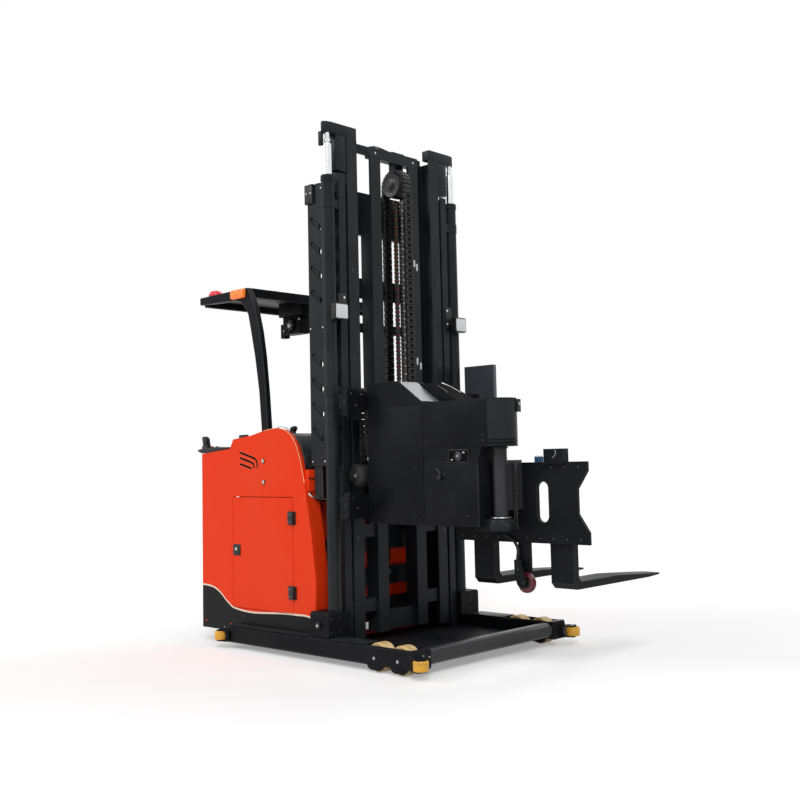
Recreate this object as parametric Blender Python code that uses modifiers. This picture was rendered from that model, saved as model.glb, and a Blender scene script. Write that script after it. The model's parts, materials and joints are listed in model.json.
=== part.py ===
"""Stand-on three-way stacker for very narrow aisles: base, body, mast, side-shift head and forks.

Metres, +X forward (fork end), +Y left, +Z up, standing on the ground plane z = 0.
Sizes below are given from the front face of the mast (x = 0) and the centre plane (y = 0).
"""

import math

import bpy
import bmesh
from mathutils import Matrix, Vector

for old in list(bpy.data.objects):
    bpy.data.objects.remove(old, do_unlink=True)

GAP = 0.0003            # between pieces that rest on each other
RUN = 0.0005            # running clearance of wheels on their pins
OVER = 0.05             # how far a cutter runs past what it cuts

# base frame
BEAM_OUT = 0.69         # outer face of a side beam, from the centre plane
BEAM_W = 0.13
BEAM_Z0, BEAM_Z1 = 0.038, 0.145
BEAM_REAR, BEAM_FRONT = -0.89, 0.725
BEAM_IN = BEAM_OUT - BEAM_W
CROSS_L = 0.10          # front cross tube, along X
CROSS_Z0, CROSS_Z1 = 0.052, 0.138
CROSS_ROUND = 0.03
FLOOR_T = 0.012
FLOOR_Z = 0.060
FLOOR_REAR = -0.245

# load wheels, two in tandem in each side beam
LOAD_D, LOAD_W = 0.160, 0.080
LOAD_X = (0.42, 0.60)
LOAD_PIN = 0.022
LOAD_ROOM = 0.0105      # round the tyre, in its pocket
LOAD_Y = BEAM_OUT - BEAM_W / 2

# side guide rollers on brackets at the beams' ends
GUIDE_D, GUIDE_H = 0.085, 0.055
GUIDE_PIN = 0.014
GUIDE_Z = 0.08
GUIDE_Y = 0.70
GUIDE_X = (-0.95, 0.777)
GUIDE_PLATE = 0.008
GUIDE_ARM_W = 0.060

# mast, outer stage
MAST_D = 0.16           # depth of the uprights along X
OUTER_Y0, OUTER_Y1 = 0.444, 0.500
OUTER_Z0, OUTER_Z1 = 0.075, 2.93
WEB, FLANGE = 0.012, 0.016
# mast, middle stage
MID_Y0, MID_Y1 = 0.338, 0.425
MID_Z0, MID_Z1 = 0.10, 3.17
SHOE_Z = (0.25, 0.70)   # feet of the guide shoes
SHOE_H = 0.08
CAP_H = 0.07
CAP_D = 0.065
GUSSET_H, GUSSET_Y = 0.225, 0.515
GUSSET_X = (-0.060, -0.005)
# mast, inner stage
INNER_Y0, INNER_Y1 = 0.13, 0.22
INNER_D = 0.10
INNER_NECK_Z = 2.84     # above this the uprights are face plates
INNER_FACE_T = 0.018
INNER_TOP_D = 0.05
INNER_Z0, INNER_Z1 = 0.12, 3.15
INNER_TOP_H, INNER_LOW_H = 0.07, 0.12
# cross ties of the outer and middle stages, behind the uprights
TIE_T = 0.035
TIE_GAP = 0.005
TIE_LOW = ((0.20, 0.297), (0.376, 0.489))
TIE_TOP = (2.62, 2.90)
BACK_T = 0.015
BACK_BARS = ((0.60, 0.75), (1.98, 2.04), (2.20, 2.33), (3.15, 3.21))
BACK_STRIP = 0.06

# lift cylinders outboard of the uprights
CYL_X, CYL_Y = -0.025, 0.567
BARREL_D, ROD_D, NECK_D = 0.080, 0.055, 0.030
BARREL_Z1 = 2.90
GLAND_H, GLAND_D = 0.04, 0.09
BORE_Z0, ROD_Z0 = 0.50, 0.60
NECK_H = 0.04
CLAMP_Z, CLAMP_H = (1.55, 2.70), 0.06

FOOT_X0, FOOT_X1 = -0.12, 0.04
FOOT_TOP = 0.29

# perforated covers beside the lift cylinders
COVER_X0, COVER_X1 = -0.202, -0.068
COVER_Y = 0.576
COVER_T = 0.006
COVER_Z0, COVER_Z1 = 1.14, 2.86
COVER_LIP = 0.045
COVER_SLOTS = (1.33, 1.48, 1.63, 1.78, 2.17, 2.32, 2.47, 2.62)
SLOT_L, SLOT_W, SLOT_TILT = 0.125, 0.032, -40.0
COVER_SHIFT = 0.003
COVER_ARM_Z, COVER_ARM_H = (1.20, 2.70), 0.06
COVER_BOX_H = 0.11

# lamps on the mast
LAMP_Y, LAMP_W, LAMP_H = 0.55, 0.11, 0.10
LAMP_Z = 2.01
LAMP_X0, LAMP_X1 = 0.020, 0.065

# pulley and hose chain in the middle of the inner stage
PULLEY_D, PULLEY_W = 0.160, 0.070
PULLEY_X, PULLEY_Y, PULLEY_DROP = -0.031, 0.045, 0.060
PULLEY_PIN = 0.024
CHEEK_T = 0.008
CHAIN_T, CHAIN_W = 0.025, 0.080
CHAIN_FRONT_Z, CHAIN_REAR_Z = 1.30, 1.00
CHAIN_DROP = 0.060      # from the pulley's axis to the joint between loop and strands
pulley_z = INNER_Z1 - INNER_TOP_H - PULLEY_DROP - PULLEY_D / 2

# traverse frame on the lift carriage
UP_Y0, UP_Y1 = 0.095, 0.235
RAIL_X0, RAIL_X1 = 0.080, 0.145
RAIL_Y = 0.61
RAIL_UP = (1.470, 1.555)
RAIL_LOW = (0.830, 0.955)
UP_Z0, UP_Z1 = 0.83, 1.59
END_W = 0.095
END_UP = (1.425, 1.590)
END_LOW = (0.840, 0.980)
END_X0, END_X1 = 0.115, 0.155
KEEP_Z, KEEP_H = (0.87, 1.42), 0.10
VALVE_Y = 0.48
VALVE_Z0, VALVE_Z1 = 1.01, 1.13
VALVE_X0, VALVE_X1 = 0.02, 0.13
MOTOR_D = 0.075
PANEL_X0, PANEL_X1 = 0.03, 0.28
PANEL_Z0, PANEL_Z1 = 1.43, 1.78
PANEL_T = 0.006
PANEL_FOLD = 0.03

# side-shift head with its arm, kingpin and lower lug
KING_X, KING_Y = 1.07, -0.35
ARM_W = 0.20
ARM_Z0, ARM_Z1 = 1.225, 1.485
HEAD_X0, HEAD_X1 = 0.160, 0.600
HEAD_W = 0.23
HEAD_Z0, HEAD_Z1 = 0.795, 1.62
SLOPE_X = 0.41
WALL_X = 1.00
LUG_W, LUG_Z0, LUG_Z1 = 0.14, 0.770, 0.840
PIN_D = 0.040
LIP_X, LIP_T = 0.100, 0.020
HUMP_X0, HUMP_X1, HUMP_W = 0.33, 0.78, 0.12
HUMP_Z0 = 1.30
COVER_PLATE_T = 0.004

# fork carriage that swings on the kingpin
COLUMN_D = 0.080
PLATE_OFF = 0.15        # kingpin to the back of the plate
PLATE_T = 0.020
PLATE_HALF, PLATE_WAIST = 0.455, 0.39
PLATE_Z = (0.700, 0.765, 0.860, 0.990, 1.085, 1.135)
SLOT_OFF, PLATE_SLOT_W = 0.168, 0.072
PLATE_SLOT_Z = (0.812, 1.030)
BRACKET_W = 0.070
BRACKET_Z0, BRACKET_Z1 = 0.88, 1.15
FORK_OFF, FORK_W, FORK_T = 0.265, 0.150, 0.045
FORK_L = 0.87
FORK_Z0, BLADE_T, TIP_T = 0.460, 0.042, 0.012
FORK_TOP = 1.10
TIP_W = 0.090
LEG_W = 0.08
LEG_Z0 = 0.470
LEG_X, SMALL_X, SMALL_Z = 1.10, 1.125, 0.487
SMALL_D, SMALL_W, SMALL_PIN = 0.110, 0.030, 0.016
BLOCK_W, BLOCK_H, BLOCK_T = 0.12, 0.07, 0.06
BLOCK_OFF = 0.255

# body
BODY_OUT, SHEET = 0.62, 0.030
BODY_Z0 = 0.095
PROFILE = ((-1.255, 1.234), (-0.950, 1.262), (-0.915, 1.322), (-0.729, 1.341),
           (-0.607, 1.366), (-0.480, 1.379), (-0.400, 1.366), (-0.340, 1.328),
           (-0.290, 1.262), (-0.255, 1.170), (-0.222, 1.038), (-0.167, 0.743),
           (-0.129, 0.454), (-0.140, 0.160))
CORNER_W = 0.105
FRONT_X, FRONT_T = -0.235, 0.015
FRONT_TOP = 1.12
HOLE_Y0, HOLE_Y1, HOLE_Z0, HOLE_Z1 = 0.02, 0.13, 0.50, 0.70
HOOD_T = 0.020
BULK_X, BULK_T = -0.880, 0.015
STEP_Z, STEP_T = 0.21, 0.04
DECK_Z, DECK_T = 0.300, 0.020
DOOR_X0, DOOR_X1, DOOR_Z0, DOOR_Z1 = -0.921, -0.335, 0.250, 0.949
DOOR_T, DOOR_GAP = 0.018, 0.004
BARREL_R = 0.011
HINGE_Z, HINGE_H = (0.34, 0.79), 0.07
HINGE_OFF = 0.010       # hinge axis ahead of the door's front edge
CONSOLE_X, CONSOLE_W = -1.03, 0.80
CONSOLE_Z0, CONSOLE_Z1 = 0.98, 1.19
WHEEL_X, WHEEL_Y, WHEEL_R = -0.99, -0.20, 0.085
STICK_H = 0.12
BATTERY_X0, BATTERY_X1, BATTERY_W, BATTERY_H = -0.57, -0.27, 0.86, 0.62

# drive wheel with its steering fork
DRIVE_X = -0.70
DRIVE_D, DRIVE_W = 0.23, 0.08
DRIVE_PIN = 0.030
TURN_D, TURN_T = 0.24, 0.028
DRIVE_CHEEK = 0.018

# overhead guard
GUARD_Y, GUARD_W = 0.585, 0.040
GUARD_FOOT_Z = 1.345
GUARD_REAR = -1.316
GUARD_FRONT = ((-0.598, 0.0), (-0.620, 0.273), (-0.645, 0.500), (-0.675, 0.669),
               (-0.705, 0.775), (-0.733, 0.858), (-0.768, 0.924), (-0.800, 0.9655))
GUARD_BACK = ((-0.927, 0.892), (-0.871, 0.877), (-0.841, 0.852), (-0.811, 0.818),
              (-0.791, 0.781), (-0.765, 0.675), (-0.726, 0.504), (-0.688, 0.276), (-0.664, 0.0))
GUARD_END = (0.906, 0.956)
ROOF_Z, ROOF_TOP = 0.893, 0.966     # above the guard's feet
ROOF_SHEET, ROOF_LIP = 0.025, 0.035
ROOF_FRONT = -0.80
BEACON_X, BEACON_Y, BEACON_D, BEACON_H = -1.262, -0.49, 0.10, 0.044
MARKER_X, MARKER_L, MARKER_H, MARKER_T = -0.885, 0.14, 0.062, 0.022

X_MID = (KING_X + PLATE_HALF + GUARD_REAR) / 2

model = bpy.data.collections.new("Three_way_stacker")
cutters = bpy.data.collections.new("Cutters")
bpy.context.scene.collection.children.link(model)
bpy.context.scene.collection.children.link(cutters)
root = bpy.data.objects.new("truck_root", None)
model.objects.link(root)
root.location = (-X_MID, 0, 0)


def paint(name, colour, roughness, metallic=0.0):
    mat = bpy.data.materials.new(name)
    mat.use_nodes = True
    shader = mat.node_tree.nodes["Principled BSDF"]
    shader.inputs["Base Color"].default_value = (*colour, 1)
    shader.inputs["Roughness"].default_value = roughness
    shader.inputs["Metallic"].default_value = metallic
    return mat


def tool(bm, name="tool"):
    """Object in the cutters' collection from a finished bmesh."""
    mesh = bpy.data.meshes.new(name)
    bm.normal_update()
    bm.to_mesh(mesh)
    bm.free()
    obj = bpy.data.objects.new(name, mesh)
    cutters.objects.link(obj)
    obj.parent = root
    obj.hide_render = True
    obj.display_type = "WIRE"
    return obj


def block(x, y, z, bevel=0.0, turn=None, segments=2, along=None):
    """Box between pairs of limits. bevel rounds all edges, or only those along one axis."""
    lo = Vector((min(x), min(y), min(z)))
    hi = Vector((max(x), max(y), max(z)))
    bm = bmesh.new()
    bmesh.ops.create_cube(bm, size=1.0)
    size = hi - lo
    bmesh.ops.transform(bm, verts=bm.verts,
                        matrix=Matrix.Translation((lo + hi) / 2) @ Matrix.Diagonal((*size, 1)))
    if bevel:
        edges = bm.edges[:]
        if along is not None:
            edges = [e for e in edges
                     if abs((e.verts[0].co - e.verts[1].co)[along]) > 0.5 * size[along]]
        bmesh.ops.bevel(bm, geom=edges, offset=bevel, segments=segments, profile=0.5,
                        affect="EDGES", clamp_overlap=True)
    if turn is not None:
        bmesh.ops.transform(bm, verts=bm.verts, matrix=turn)
    return tool(bm)


def rod(radius, start, end, sides=24, radius2=None):
    """Cylinder or cone between two points."""
    start, end = Vector(start), Vector(end)
    run = end - start
    place = (Matrix.Translation((start + end) / 2)
             @ Vector((0, 0, 1)).rotation_difference(run).to_matrix().to_4x4())
    bm = bmesh.new()
    bmesh.ops.create_cone(bm, cap_ends=True, segments=sides, radius1=radius,
                          radius2=radius if radius2 is None else radius2,
                          depth=run.length, matrix=place)
    return tool(bm)


TURNS = {"XZ": Matrix.Rotation(math.pi / 2, 4, "X"),
         "XY": Matrix.Identity(4),
         "YZ": Matrix(((0, 0, 1, 0), (1, 0, 0, 0), (0, 1, 0, 0), (0, 0, 0, 1)))}


def outline(points, plane, low, high):
    """Flat outline made solid between two levels across its plane."""
    curve = bpy.data.curves.new("outline", "CURVE")
    curve.dimensions = "2D"
    curve.fill_mode = "BOTH"
    curve.extrude = (high - low) / 2
    spline = curve.splines.new("POLY")
    spline.points.add(len(points) - 1)
    for point, (a, b) in zip(spline.points, points):
        point.co = (a, b, 0, 1)
    spline.use_cyclic_u = True
    flat = bpy.data.objects.new("outline", curve)
    cutters.objects.link(flat)
    middle = (high + low) / 2
    level = {"XZ": (0, middle, 0), "XY": (0, 0, middle), "YZ": (middle, 0, 0)}[plane]
    flat.matrix_world = Matrix.Translation(level) @ TURNS[plane]
    bpy.context.view_layer.update()
    depsgraph = bpy.context.evaluated_depsgraph_get()
    mesh = bpy.data.meshes.new_from_object(flat.evaluated_get(depsgraph))
    bm = bmesh.new()
    bm.from_mesh(mesh)
    bmesh.ops.remove_doubles(bm, verts=bm.verts, dist=0.00001)
    bmesh.ops.transform(bm, verts=bm.verts, matrix=flat.matrix_world)
    bmesh.ops.recalc_face_normals(bm, faces=bm.faces)
    bpy.data.objects.remove(flat, do_unlink=True)
    bpy.data.meshes.remove(mesh)
    return tool(bm)


def boolean(obj, operation, others):
    for other in others:
        step = obj.modifiers.new(operation.lower(), "BOOLEAN")
        step.operation = operation
        step.solver = "EXACT"
        step.object = other
    return obj


def join(obj, *others):
    return boolean(obj, "UNION", others)


def cut(obj, *others):
    return boolean(obj, "DIFFERENCE", others)


def node(name, obj, material, origin=(0, 0, 0), smooth=True):
    """Turns a tool object into a node of the model, with its origin at a point."""
    cutters.objects.unlink(obj)
    model.objects.link(obj)
    obj.hide_render = False
    obj.display_type = "TEXTURED"
    obj.name = name
    obj.data.name = name
    obj.data.materials.append(material)
    obj.data.transform(Matrix.Translation(-Vector(origin)))
    obj.location = origin
    if smooth:
        obj.data.shade_smooth()
        obj.data.set_sharp_from_angle(angle=math.radians(35))
    return obj


def wheel(name, centre, axis, diameter, width, pin, material, sides=32, crown=0.004):
    """Turned wheel with a pin bore: a profile spun by a Screw modifier."""
    r, h, bore = diameter / 2, width / 2, pin / 2 + RUN
    profile = [(bore, h), (r - crown, h), (r, h - crown), (r, crown - h), (r - crown, -h),
               (bore, -h)]
    bm = bmesh.new()
    verts = [bm.verts.new((x, 0, z)) for x, z in profile]
    for a, b in zip(verts, verts[1:] + verts[:1]):
        bm.edges.new((a, b))
    mesh = bpy.data.meshes.new(name)
    bm.to_mesh(mesh)
    bm.free()
    obj = bpy.data.objects.new(name, mesh)
    model.objects.link(obj)
    obj.parent = root
    obj.location = centre
    obj.rotation_euler = {"Y": (math.pi / 2, 0, 0), "Z": (0, 0, 0)}[axis]
    spin = obj.modifiers.new("spin", "SCREW")
    spin.steps = sides
    spin.render_steps = sides
    spin.angle = 2 * math.pi
    spin.use_merge_vertices = True
    spin.merge_threshold = 0.00001
    obj.data.materials.append(material)
    return obj


orange = paint("orange_paint", (0.85, 0.09, 0.02), 0.35)
black = paint("black_paint", (0.018, 0.019, 0.022), 0.42)
steel = paint("bright_steel", (0.75, 0.75, 0.75), 0.18, 1.0)
yellow = paint("yellow_tyre", (0.85, 0.55, 0.06), 0.5)
maroon = paint("maroon_tyre", (0.25, 0.02, 0.03), 0.5)
dark = paint("dark_plastic", (0.03, 0.03, 0.032), 0.6)
grey = paint("grey_sheet", (0.10, 0.11, 0.12), 0.45)
red = paint("red_lens", (0.7, 0.03, 0.03), 0.25)
amber = paint("amber_lens", (0.9, 0.25, 0.02), 0.25)
lens = paint("lamp_lens", (0.9, 0.9, 0.9), 0.2)

SIDES = (("right", -1), ("left", 1))


def pair(side, a, b):
    """Limits across the truck, mirrored for the right side."""
    return (side * a, side * b)


# base frame: side beams with wheel pockets, mast feet and guide brackets
for label, s in SIDES:
    beam = block((BEAM_REAR, BEAM_FRONT), pair(s, BEAM_IN, BEAM_OUT), (BEAM_Z0, BEAM_Z1),
                 bevel=0.010, segments=1, along=0)
    reach = LOAD_D / 2 + LOAD_ROOM
    half = LOAD_W / 2 + LOAD_ROOM
    for x in LOAD_X:
        cut(beam, block((x - reach, x + reach), pair(s, LOAD_Y - half, LOAD_Y + half),
                        (BEAM_Z0 - 0.02, BEAM_Z1 + 0.02)))
        join(beam, rod(LOAD_PIN / 2, (x, s * (LOAD_Y - half - 0.005), LOAD_D / 2),
                       (x, s * (LOAD_Y + half + 0.005), LOAD_D / 2), sides=16))
    join(beam, block((FOOT_X0, FOOT_X1), pair(s, OUTER_Y1 + GAP, BEAM_OUT - 0.012),
                     (BEAM_Z1 - 0.006, FOOT_TOP), bevel=0.012, segments=1, along=0))
    for gx in GUIDE_X:
        end_x = BEAM_FRONT - 0.010 if gx > 0 else BEAM_REAR + 0.010
        start = Vector((end_x, s * (BEAM_OUT - 0.010), 0))
        centre = Vector((gx, s * GUIDE_Y, 0))
        run = centre - start
        turn = Matrix.Translation(start) @ Matrix.Rotation(math.atan2(run.y, run.x), 4, "Z")
        half_h = GUIDE_H / 2 + RUN
        near = (-0.004, run.length + GUIDE_PIN)
        wide = (-GUIDE_ARM_W / 2, GUIDE_ARM_W / 2)
        web = (-0.003, run.length - GUIDE_D / 2 - 0.010)
        join(beam,
             block(web, (wide[0] + 0.002, wide[1] - 0.002),
                   (GUIDE_Z - half_h - GUIDE_PLATE / 2, GUIDE_Z + half_h + GUIDE_PLATE / 2),
                   turn=turn),
             block(near, wide, (GUIDE_Z + half_h, GUIDE_Z + half_h + GUIDE_PLATE), turn=turn),
             block(near, wide, (GUIDE_Z - half_h - GUIDE_PLATE, GUIDE_Z - half_h), turn=turn),
             rod(GUIDE_PIN / 2, (gx, s * GUIDE_Y, GUIDE_Z - half_h - GUIDE_PLATE / 2),
                 (gx, s * GUIDE_Y, GUIDE_Z + half_h + GUIDE_PLATE / 2), sides=12))
    node("side_beam_" + label, beam, black)

cross = block((BEAM_FRONT - CROSS_L, BEAM_FRONT - 0.004), (GAP - BEAM_IN, BEAM_IN - GAP),
              (CROSS_Z0, CROSS_Z1), bevel=CROSS_ROUND, segments=3, along=1)
join(cross, block((FLOOR_REAR, BEAM_FRONT - CROSS_L / 2), (GAP - BEAM_IN, BEAM_IN - GAP),
                  (FLOOR_Z, FLOOR_Z + FLOOR_T)))
node("front_crossmember", cross, black)

for label, s in SIDES:
    for order, x in zip(("rear", "front"), LOAD_X):
        wheel(f"load_wheel_{order}_{label}", (x, s * LOAD_Y, LOAD_D / 2), "Y", LOAD_D, LOAD_W,
              LOAD_PIN, yellow)
    for order, x in zip(("rear", "front"), GUIDE_X):
        wheel(f"guide_roller_{order}_{label}", (x, s * GUIDE_Y, GUIDE_Z), "Z", GUIDE_D, GUIDE_H,
              GUIDE_PIN, yellow, sides=24)

# drive wheel under the deck
deck_half = BODY_OUT - SHEET - GAP
deck_front = FRONT_X - FRONT_T - GAP
deck = block((BULK_X + GAP, deck_front), (-deck_half, deck_half), (DECK_Z, DECK_Z + DECK_T))
for label, s in SIDES:
    join(deck, block((BULK_X + GAP, deck_front), pair(s, deck_half - DECK_T, deck_half),
                     (BEAM_Z1 + GAP, DECK_Z + DECK_T / 2)))
node("chassis_deck", deck, black)

drive_r = DRIVE_D / 2
turntable = rod(TURN_D / 2, (DRIVE_X, 0, DECK_Z - GAP - TURN_T), (DRIVE_X, 0, DECK_Z - GAP),
                sides=32)
for label, s in SIDES:
    join(turntable, block((DRIVE_X - 0.05, DRIVE_X + 0.05),
                          pair(s, DRIVE_W / 2 + RUN, DRIVE_W / 2 + RUN + DRIVE_CHEEK),
                          (drive_r - 0.04, DECK_Z - TURN_T / 2)))
join(turntable, rod(DRIVE_PIN / 2, (DRIVE_X, -DRIVE_W / 2 - DRIVE_CHEEK / 2, drive_r),
                    (DRIVE_X, DRIVE_W / 2 + DRIVE_CHEEK / 2, drive_r), sides=16))
node("drive_fork", turntable, black, origin=(DRIVE_X, 0, DECK_Z))
wheel("drive_wheel", (DRIVE_X, 0, drive_r), "Y", DRIVE_D, DRIVE_W, DRIVE_PIN, dark)
node("battery", block((BATTERY_X0, BATTERY_X1), (-BATTERY_W / 2, BATTERY_W / 2),
                      (DECK_Z + DECK_T + GAP, DECK_Z + DECK_T + BATTERY_H)), dark)

# body sides: profile sheets with a thick front corner, the door hole and vents
beam_top = BEAM_Z1 + GAP
rear_low = BEAM_REAR - 0.02
side_shape = list(PROFILE) + [(PROFILE[-1][0], beam_top), (rear_low, beam_top),
                              (rear_low, BODY_Z0), (PROFILE[0][0], BODY_Z0)]
corner_x = FRONT_X - FRONT_T
front_edge = [(x - 0.001, z) for x, z in PROFILE if x > corner_x and z < FRONT_TOP]
corner_shape = front_edge + [(front_edge[-1][0], beam_top + 0.001), (corner_x, beam_top + 0.001),
                             (corner_x, FRONT_TOP)]
for label, s in SIDES:
    low, high = sorted(pair(s, BODY_OUT - SHEET, BODY_OUT))
    panel = outline(side_shape, "XZ", low, high)
    low, high = sorted(pair(s, BODY_OUT - CORNER_W, BODY_OUT - SHEET / 2))
    join(panel, outline(corner_shape, "XZ", low, high))
    if label == "right":
        cut(panel, block((DOOR_X0 - DOOR_GAP, DOOR_X1 + DOOR_GAP),
                         pair(s, BODY_OUT - CORNER_W - OVER, BODY_OUT + OVER),
                         (DOOR_Z0 - DOOR_GAP, DOOR_Z1 + DOOR_GAP)))
    node("side_panel_" + label, panel, orange, smooth=False)

door_face = -BODY_OUT
door = block((DOOR_X0, DOOR_X1), (door_face, door_face + DOOR_T), (DOOR_Z0, DOOR_Z1))
hinge = (DOOR_X1 + HINGE_OFF, door_face - BARREL_R - GAP)
for z in HINGE_Z:
    join(door, rod(BARREL_R, (*hinge, z), (*hinge, z + HINGE_H), sides=16),
         block((DOOR_X1 - 0.035, DOOR_X1 - 0.001), (door_face - 0.006, door_face + 0.002),
               (z + 0.005, z + HINGE_H - 0.005)),
         block((DOOR_X1 - 0.020, hinge[0]), (door_face - 0.005, door_face - GAP),
               (z + 0.006, z + HINGE_H - 0.006)))
node("access_door", door, orange, origin=(*hinge, DOOR_Z0), smooth=False)

front = block((FRONT_X - FRONT_T, FRONT_X), (-deck_half, deck_half), (beam_top, FRONT_TOP))
cut(front, block((FRONT_X - OVER, FRONT_X + OVER), (HOLE_Y0, HOLE_Y1), (HOLE_Z0, HOLE_Z1)))
corner_in = BODY_OUT - CORNER_W
for label, s in SIDES:
    cut(front, block((FRONT_X - OVER, FRONT_X + OVER), pair(s, corner_in - GAP, BODY_OUT),
                     (beam_top - OVER, FRONT_TOP + OVER)))
node("front_panel", front, orange, smooth=False)

hood_top = ((BULK_X - BULK_T / 2 + 0.008, GUARD_FOOT_Z - 0.020),
            (-0.740, GUARD_FOOT_Z - GAP), (-0.400, GUARD_FOOT_Z - GAP), (-0.335, 1.325),
            (-0.280, 1.265), (-0.248, 1.180), (FRONT_X, FRONT_TOP + GAP))
hood_low = [(x - 0.012, z - HOOD_T) for x, z in hood_top[1:-1]]
hood_shape = list(hood_top) + [(FRONT_X - 0.014, FRONT_TOP + GAP)] + hood_low[::-1] + [
    (hood_top[0][0], hood_top[0][1] - HOOD_T)]
node("hood", outline(hood_shape, "XZ", -deck_half, deck_half), dark)

# operator's place at the rear: floor, bulkhead and control console
step = block((PROFILE[0][0] + 0.002, BULK_X - BULK_T - GAP), (-deck_half, deck_half),
             (STEP_Z - STEP_T, STEP_Z))
join(step, block((PROFILE[0][0] + 0.002, PROFILE[0][0] + 0.022), (-deck_half, deck_half),
                 (BODY_Z0, STEP_Z - STEP_T / 2)))
node("operator_floor", step, dark)
bulk_top = hood_top[0][1] - HOOD_T - 0.004
bulk = block((BULK_X - BULK_T, BULK_X), (-deck_half, deck_half),
             (STEP_Z - STEP_T, bulk_top - GAP))
join(bulk, outline([(BULK_X - BULK_T / 2, CONSOLE_Z0), (CONSOLE_X + 0.02, CONSOLE_Z0 + 0.05),
                    (CONSOLE_X, CONSOLE_Z1 - 0.02), (BULK_X - BULK_T / 2, CONSOLE_Z1 + 0.02)],
                   "XZ", -CONSOLE_W / 2, CONSOLE_W / 2))
rim_z = CONSOLE_Z1 + 0.06
join(bulk, rod(0.014, (WHEEL_X, WHEEL_Y, CONSOLE_Z1 - 0.03), (WHEEL_X, WHEEL_Y, rim_z + 0.006),
               sides=12),
     rod(WHEEL_R, (WHEEL_X, WHEEL_Y, rim_z - 0.005), (WHEEL_X, WHEEL_Y, rim_z + 0.005), sides=28),
     rod(0.013, (WHEEL_X, -WHEEL_Y, CONSOLE_Z1 - 0.03),
         (WHEEL_X, -WHEEL_Y, CONSOLE_Z1 + STICK_H), sides=12))
node("control_console", bulk, dark)

# overhead guard: two bent posts, roof, lamps
for label, s in SIDES:
    shape = [(x, GUARD_FOOT_Z + z) for x, z in GUARD_FRONT]
    shape += [(GUARD_REAR, GUARD_FOOT_Z + GUARD_END[1]), (GUARD_REAR, GUARD_FOOT_Z + GUARD_END[0])]
    shape += [(x, GUARD_FOOT_Z + z) for x, z in GUARD_BACK]
    low, high = sorted(pair(s, GUARD_Y - GUARD_W, GUARD_Y))
    node("guard_post_" + label, outline(shape, "XZ", low, high), black, smooth=False)
roof_half = GUARD_Y - GUARD_W - GAP
roof_shape = [(GUARD_REAR, ROOF_Z), (GUARD_REAR + ROOF_LIP, ROOF_Z),
              (GUARD_REAR + ROOF_LIP, ROOF_TOP - ROOF_SHEET),
              (ROOF_FRONT - ROOF_LIP, ROOF_TOP - ROOF_SHEET), (ROOF_FRONT - ROOF_LIP, ROOF_Z + 0.012),
              (ROOF_FRONT, ROOF_Z + 0.012), (ROOF_FRONT, ROOF_TOP), (GUARD_REAR, ROOF_TOP)]
roof_shape = [(x, GUARD_FOOT_Z + z) for x, z in roof_shape]
node("guard_roof", outline(roof_shape, "XZ", -roof_half, roof_half), black, smooth=False)
beacon_z = GUARD_FOOT_Z + ROOF_TOP + GAP
beacon = rod(BEACON_D / 2, (BEACON_X, BEACON_Y, beacon_z),
             (BEACON_X, BEACON_Y, beacon_z + 0.55 * BEACON_H))
join(beacon, rod(BEACON_D / 2 - 0.003, (BEACON_X, BEACON_Y, beacon_z + 0.50 * BEACON_H),
                 (BEACON_X, BEACON_Y, beacon_z + BEACON_H), radius2=BEACON_D / 3))
node("beacon", beacon, red)
marker_z = GUARD_FOOT_Z + (GUARD_END[0] + GUARD_END[1]) / 2
node("marker_lamp", block((MARKER_X - MARKER_L / 2, MARKER_X + MARKER_L / 2),
                          (-GUARD_Y - GAP, -GUARD_Y - MARKER_T),
                          (marker_z - MARKER_H / 2, marker_z + MARKER_H / 2),
                          bevel=0.006, segments=1), amber)


# mast
def channel(s, y0, y1, z0, z1):
    """Upright of channel section that opens towards the centre plane."""
    body = block((-MAST_D, 0), pair(s, y0, y1), (z0, z1))
    return cut(body, block((FLANGE - MAST_D, -FLANGE), pair(s, y0 - 0.02, y1 - WEB),
                           (z0 - 0.01, z1 + 0.01)))


def shoes(obj, s, y0, y1):
    """Guide shoes that fill the next channel, with a running gap."""
    for z in SHOE_Z:
        join(obj, block((FLANGE - MAST_D + GAP, -FLANGE - GAP), pair(s, y0, y1),
                        (z, z + SHOE_H)))
    return obj


for label, s in SIDES:
    node("outer_upright_" + label, channel(s, OUTER_Y0, OUTER_Y1, OUTER_Z0, OUTER_Z1), black)
    mid = channel(s, MID_Y0, MID_Y1, MID_Z0, MID_Z1)
    shoes(mid, s, MID_Y1 - WEB / 2, OUTER_Y1 - WEB - GAP)
    node("middle_upright_" + label, mid, black, origin=(0, 0, MID_Z0))

tie_x = (-MAST_D - GAP - BACK_T - TIE_GAP - TIE_T, -MAST_D - GAP - BACK_T - TIE_GAP)
for name, bars in (("mast_lower_tie", TIE_LOW), ("mast_upper_tie", (TIE_TOP,))):
    low, high = bars[0][0], bars[-1][1]
    tie = None
    for z0, z1 in bars:
        bar = block(tie_x, (-OUTER_Y1, OUTER_Y1), (z0, z1))
        tie = bar if tie is None else join(tie, bar)
    for label, s in SIDES:
        join(tie, block((tie_x[0] + TIE_T / 2, -MAST_D - GAP), pair(s, OUTER_Y0, OUTER_Y1 - 0.001),
                        (low + 0.002, high - 0.002)))
    node(name, tie, black)

back = None
for z0, z1 in BACK_BARS:
    bar = block((-MAST_D - GAP - BACK_T, -MAST_D - GAP), (-MID_Y1 + 0.002, MID_Y1 - 0.002),
                (z0, z1))
    back = bar if back is None else join(back, bar)
for label, s in SIDES:
    join(back, block((-MAST_D - GAP - BACK_T + 0.001, -MAST_D - GAP - 0.001),
                     pair(s, MID_Y1 - BACK_STRIP, MID_Y1 - 0.004),
                     (BACK_BARS[0][0] + 0.01, BACK_BARS[-1][1] - 0.01)))
node("middle_back_plate", back, black, origin=(0, 0, MID_Z0))

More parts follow.
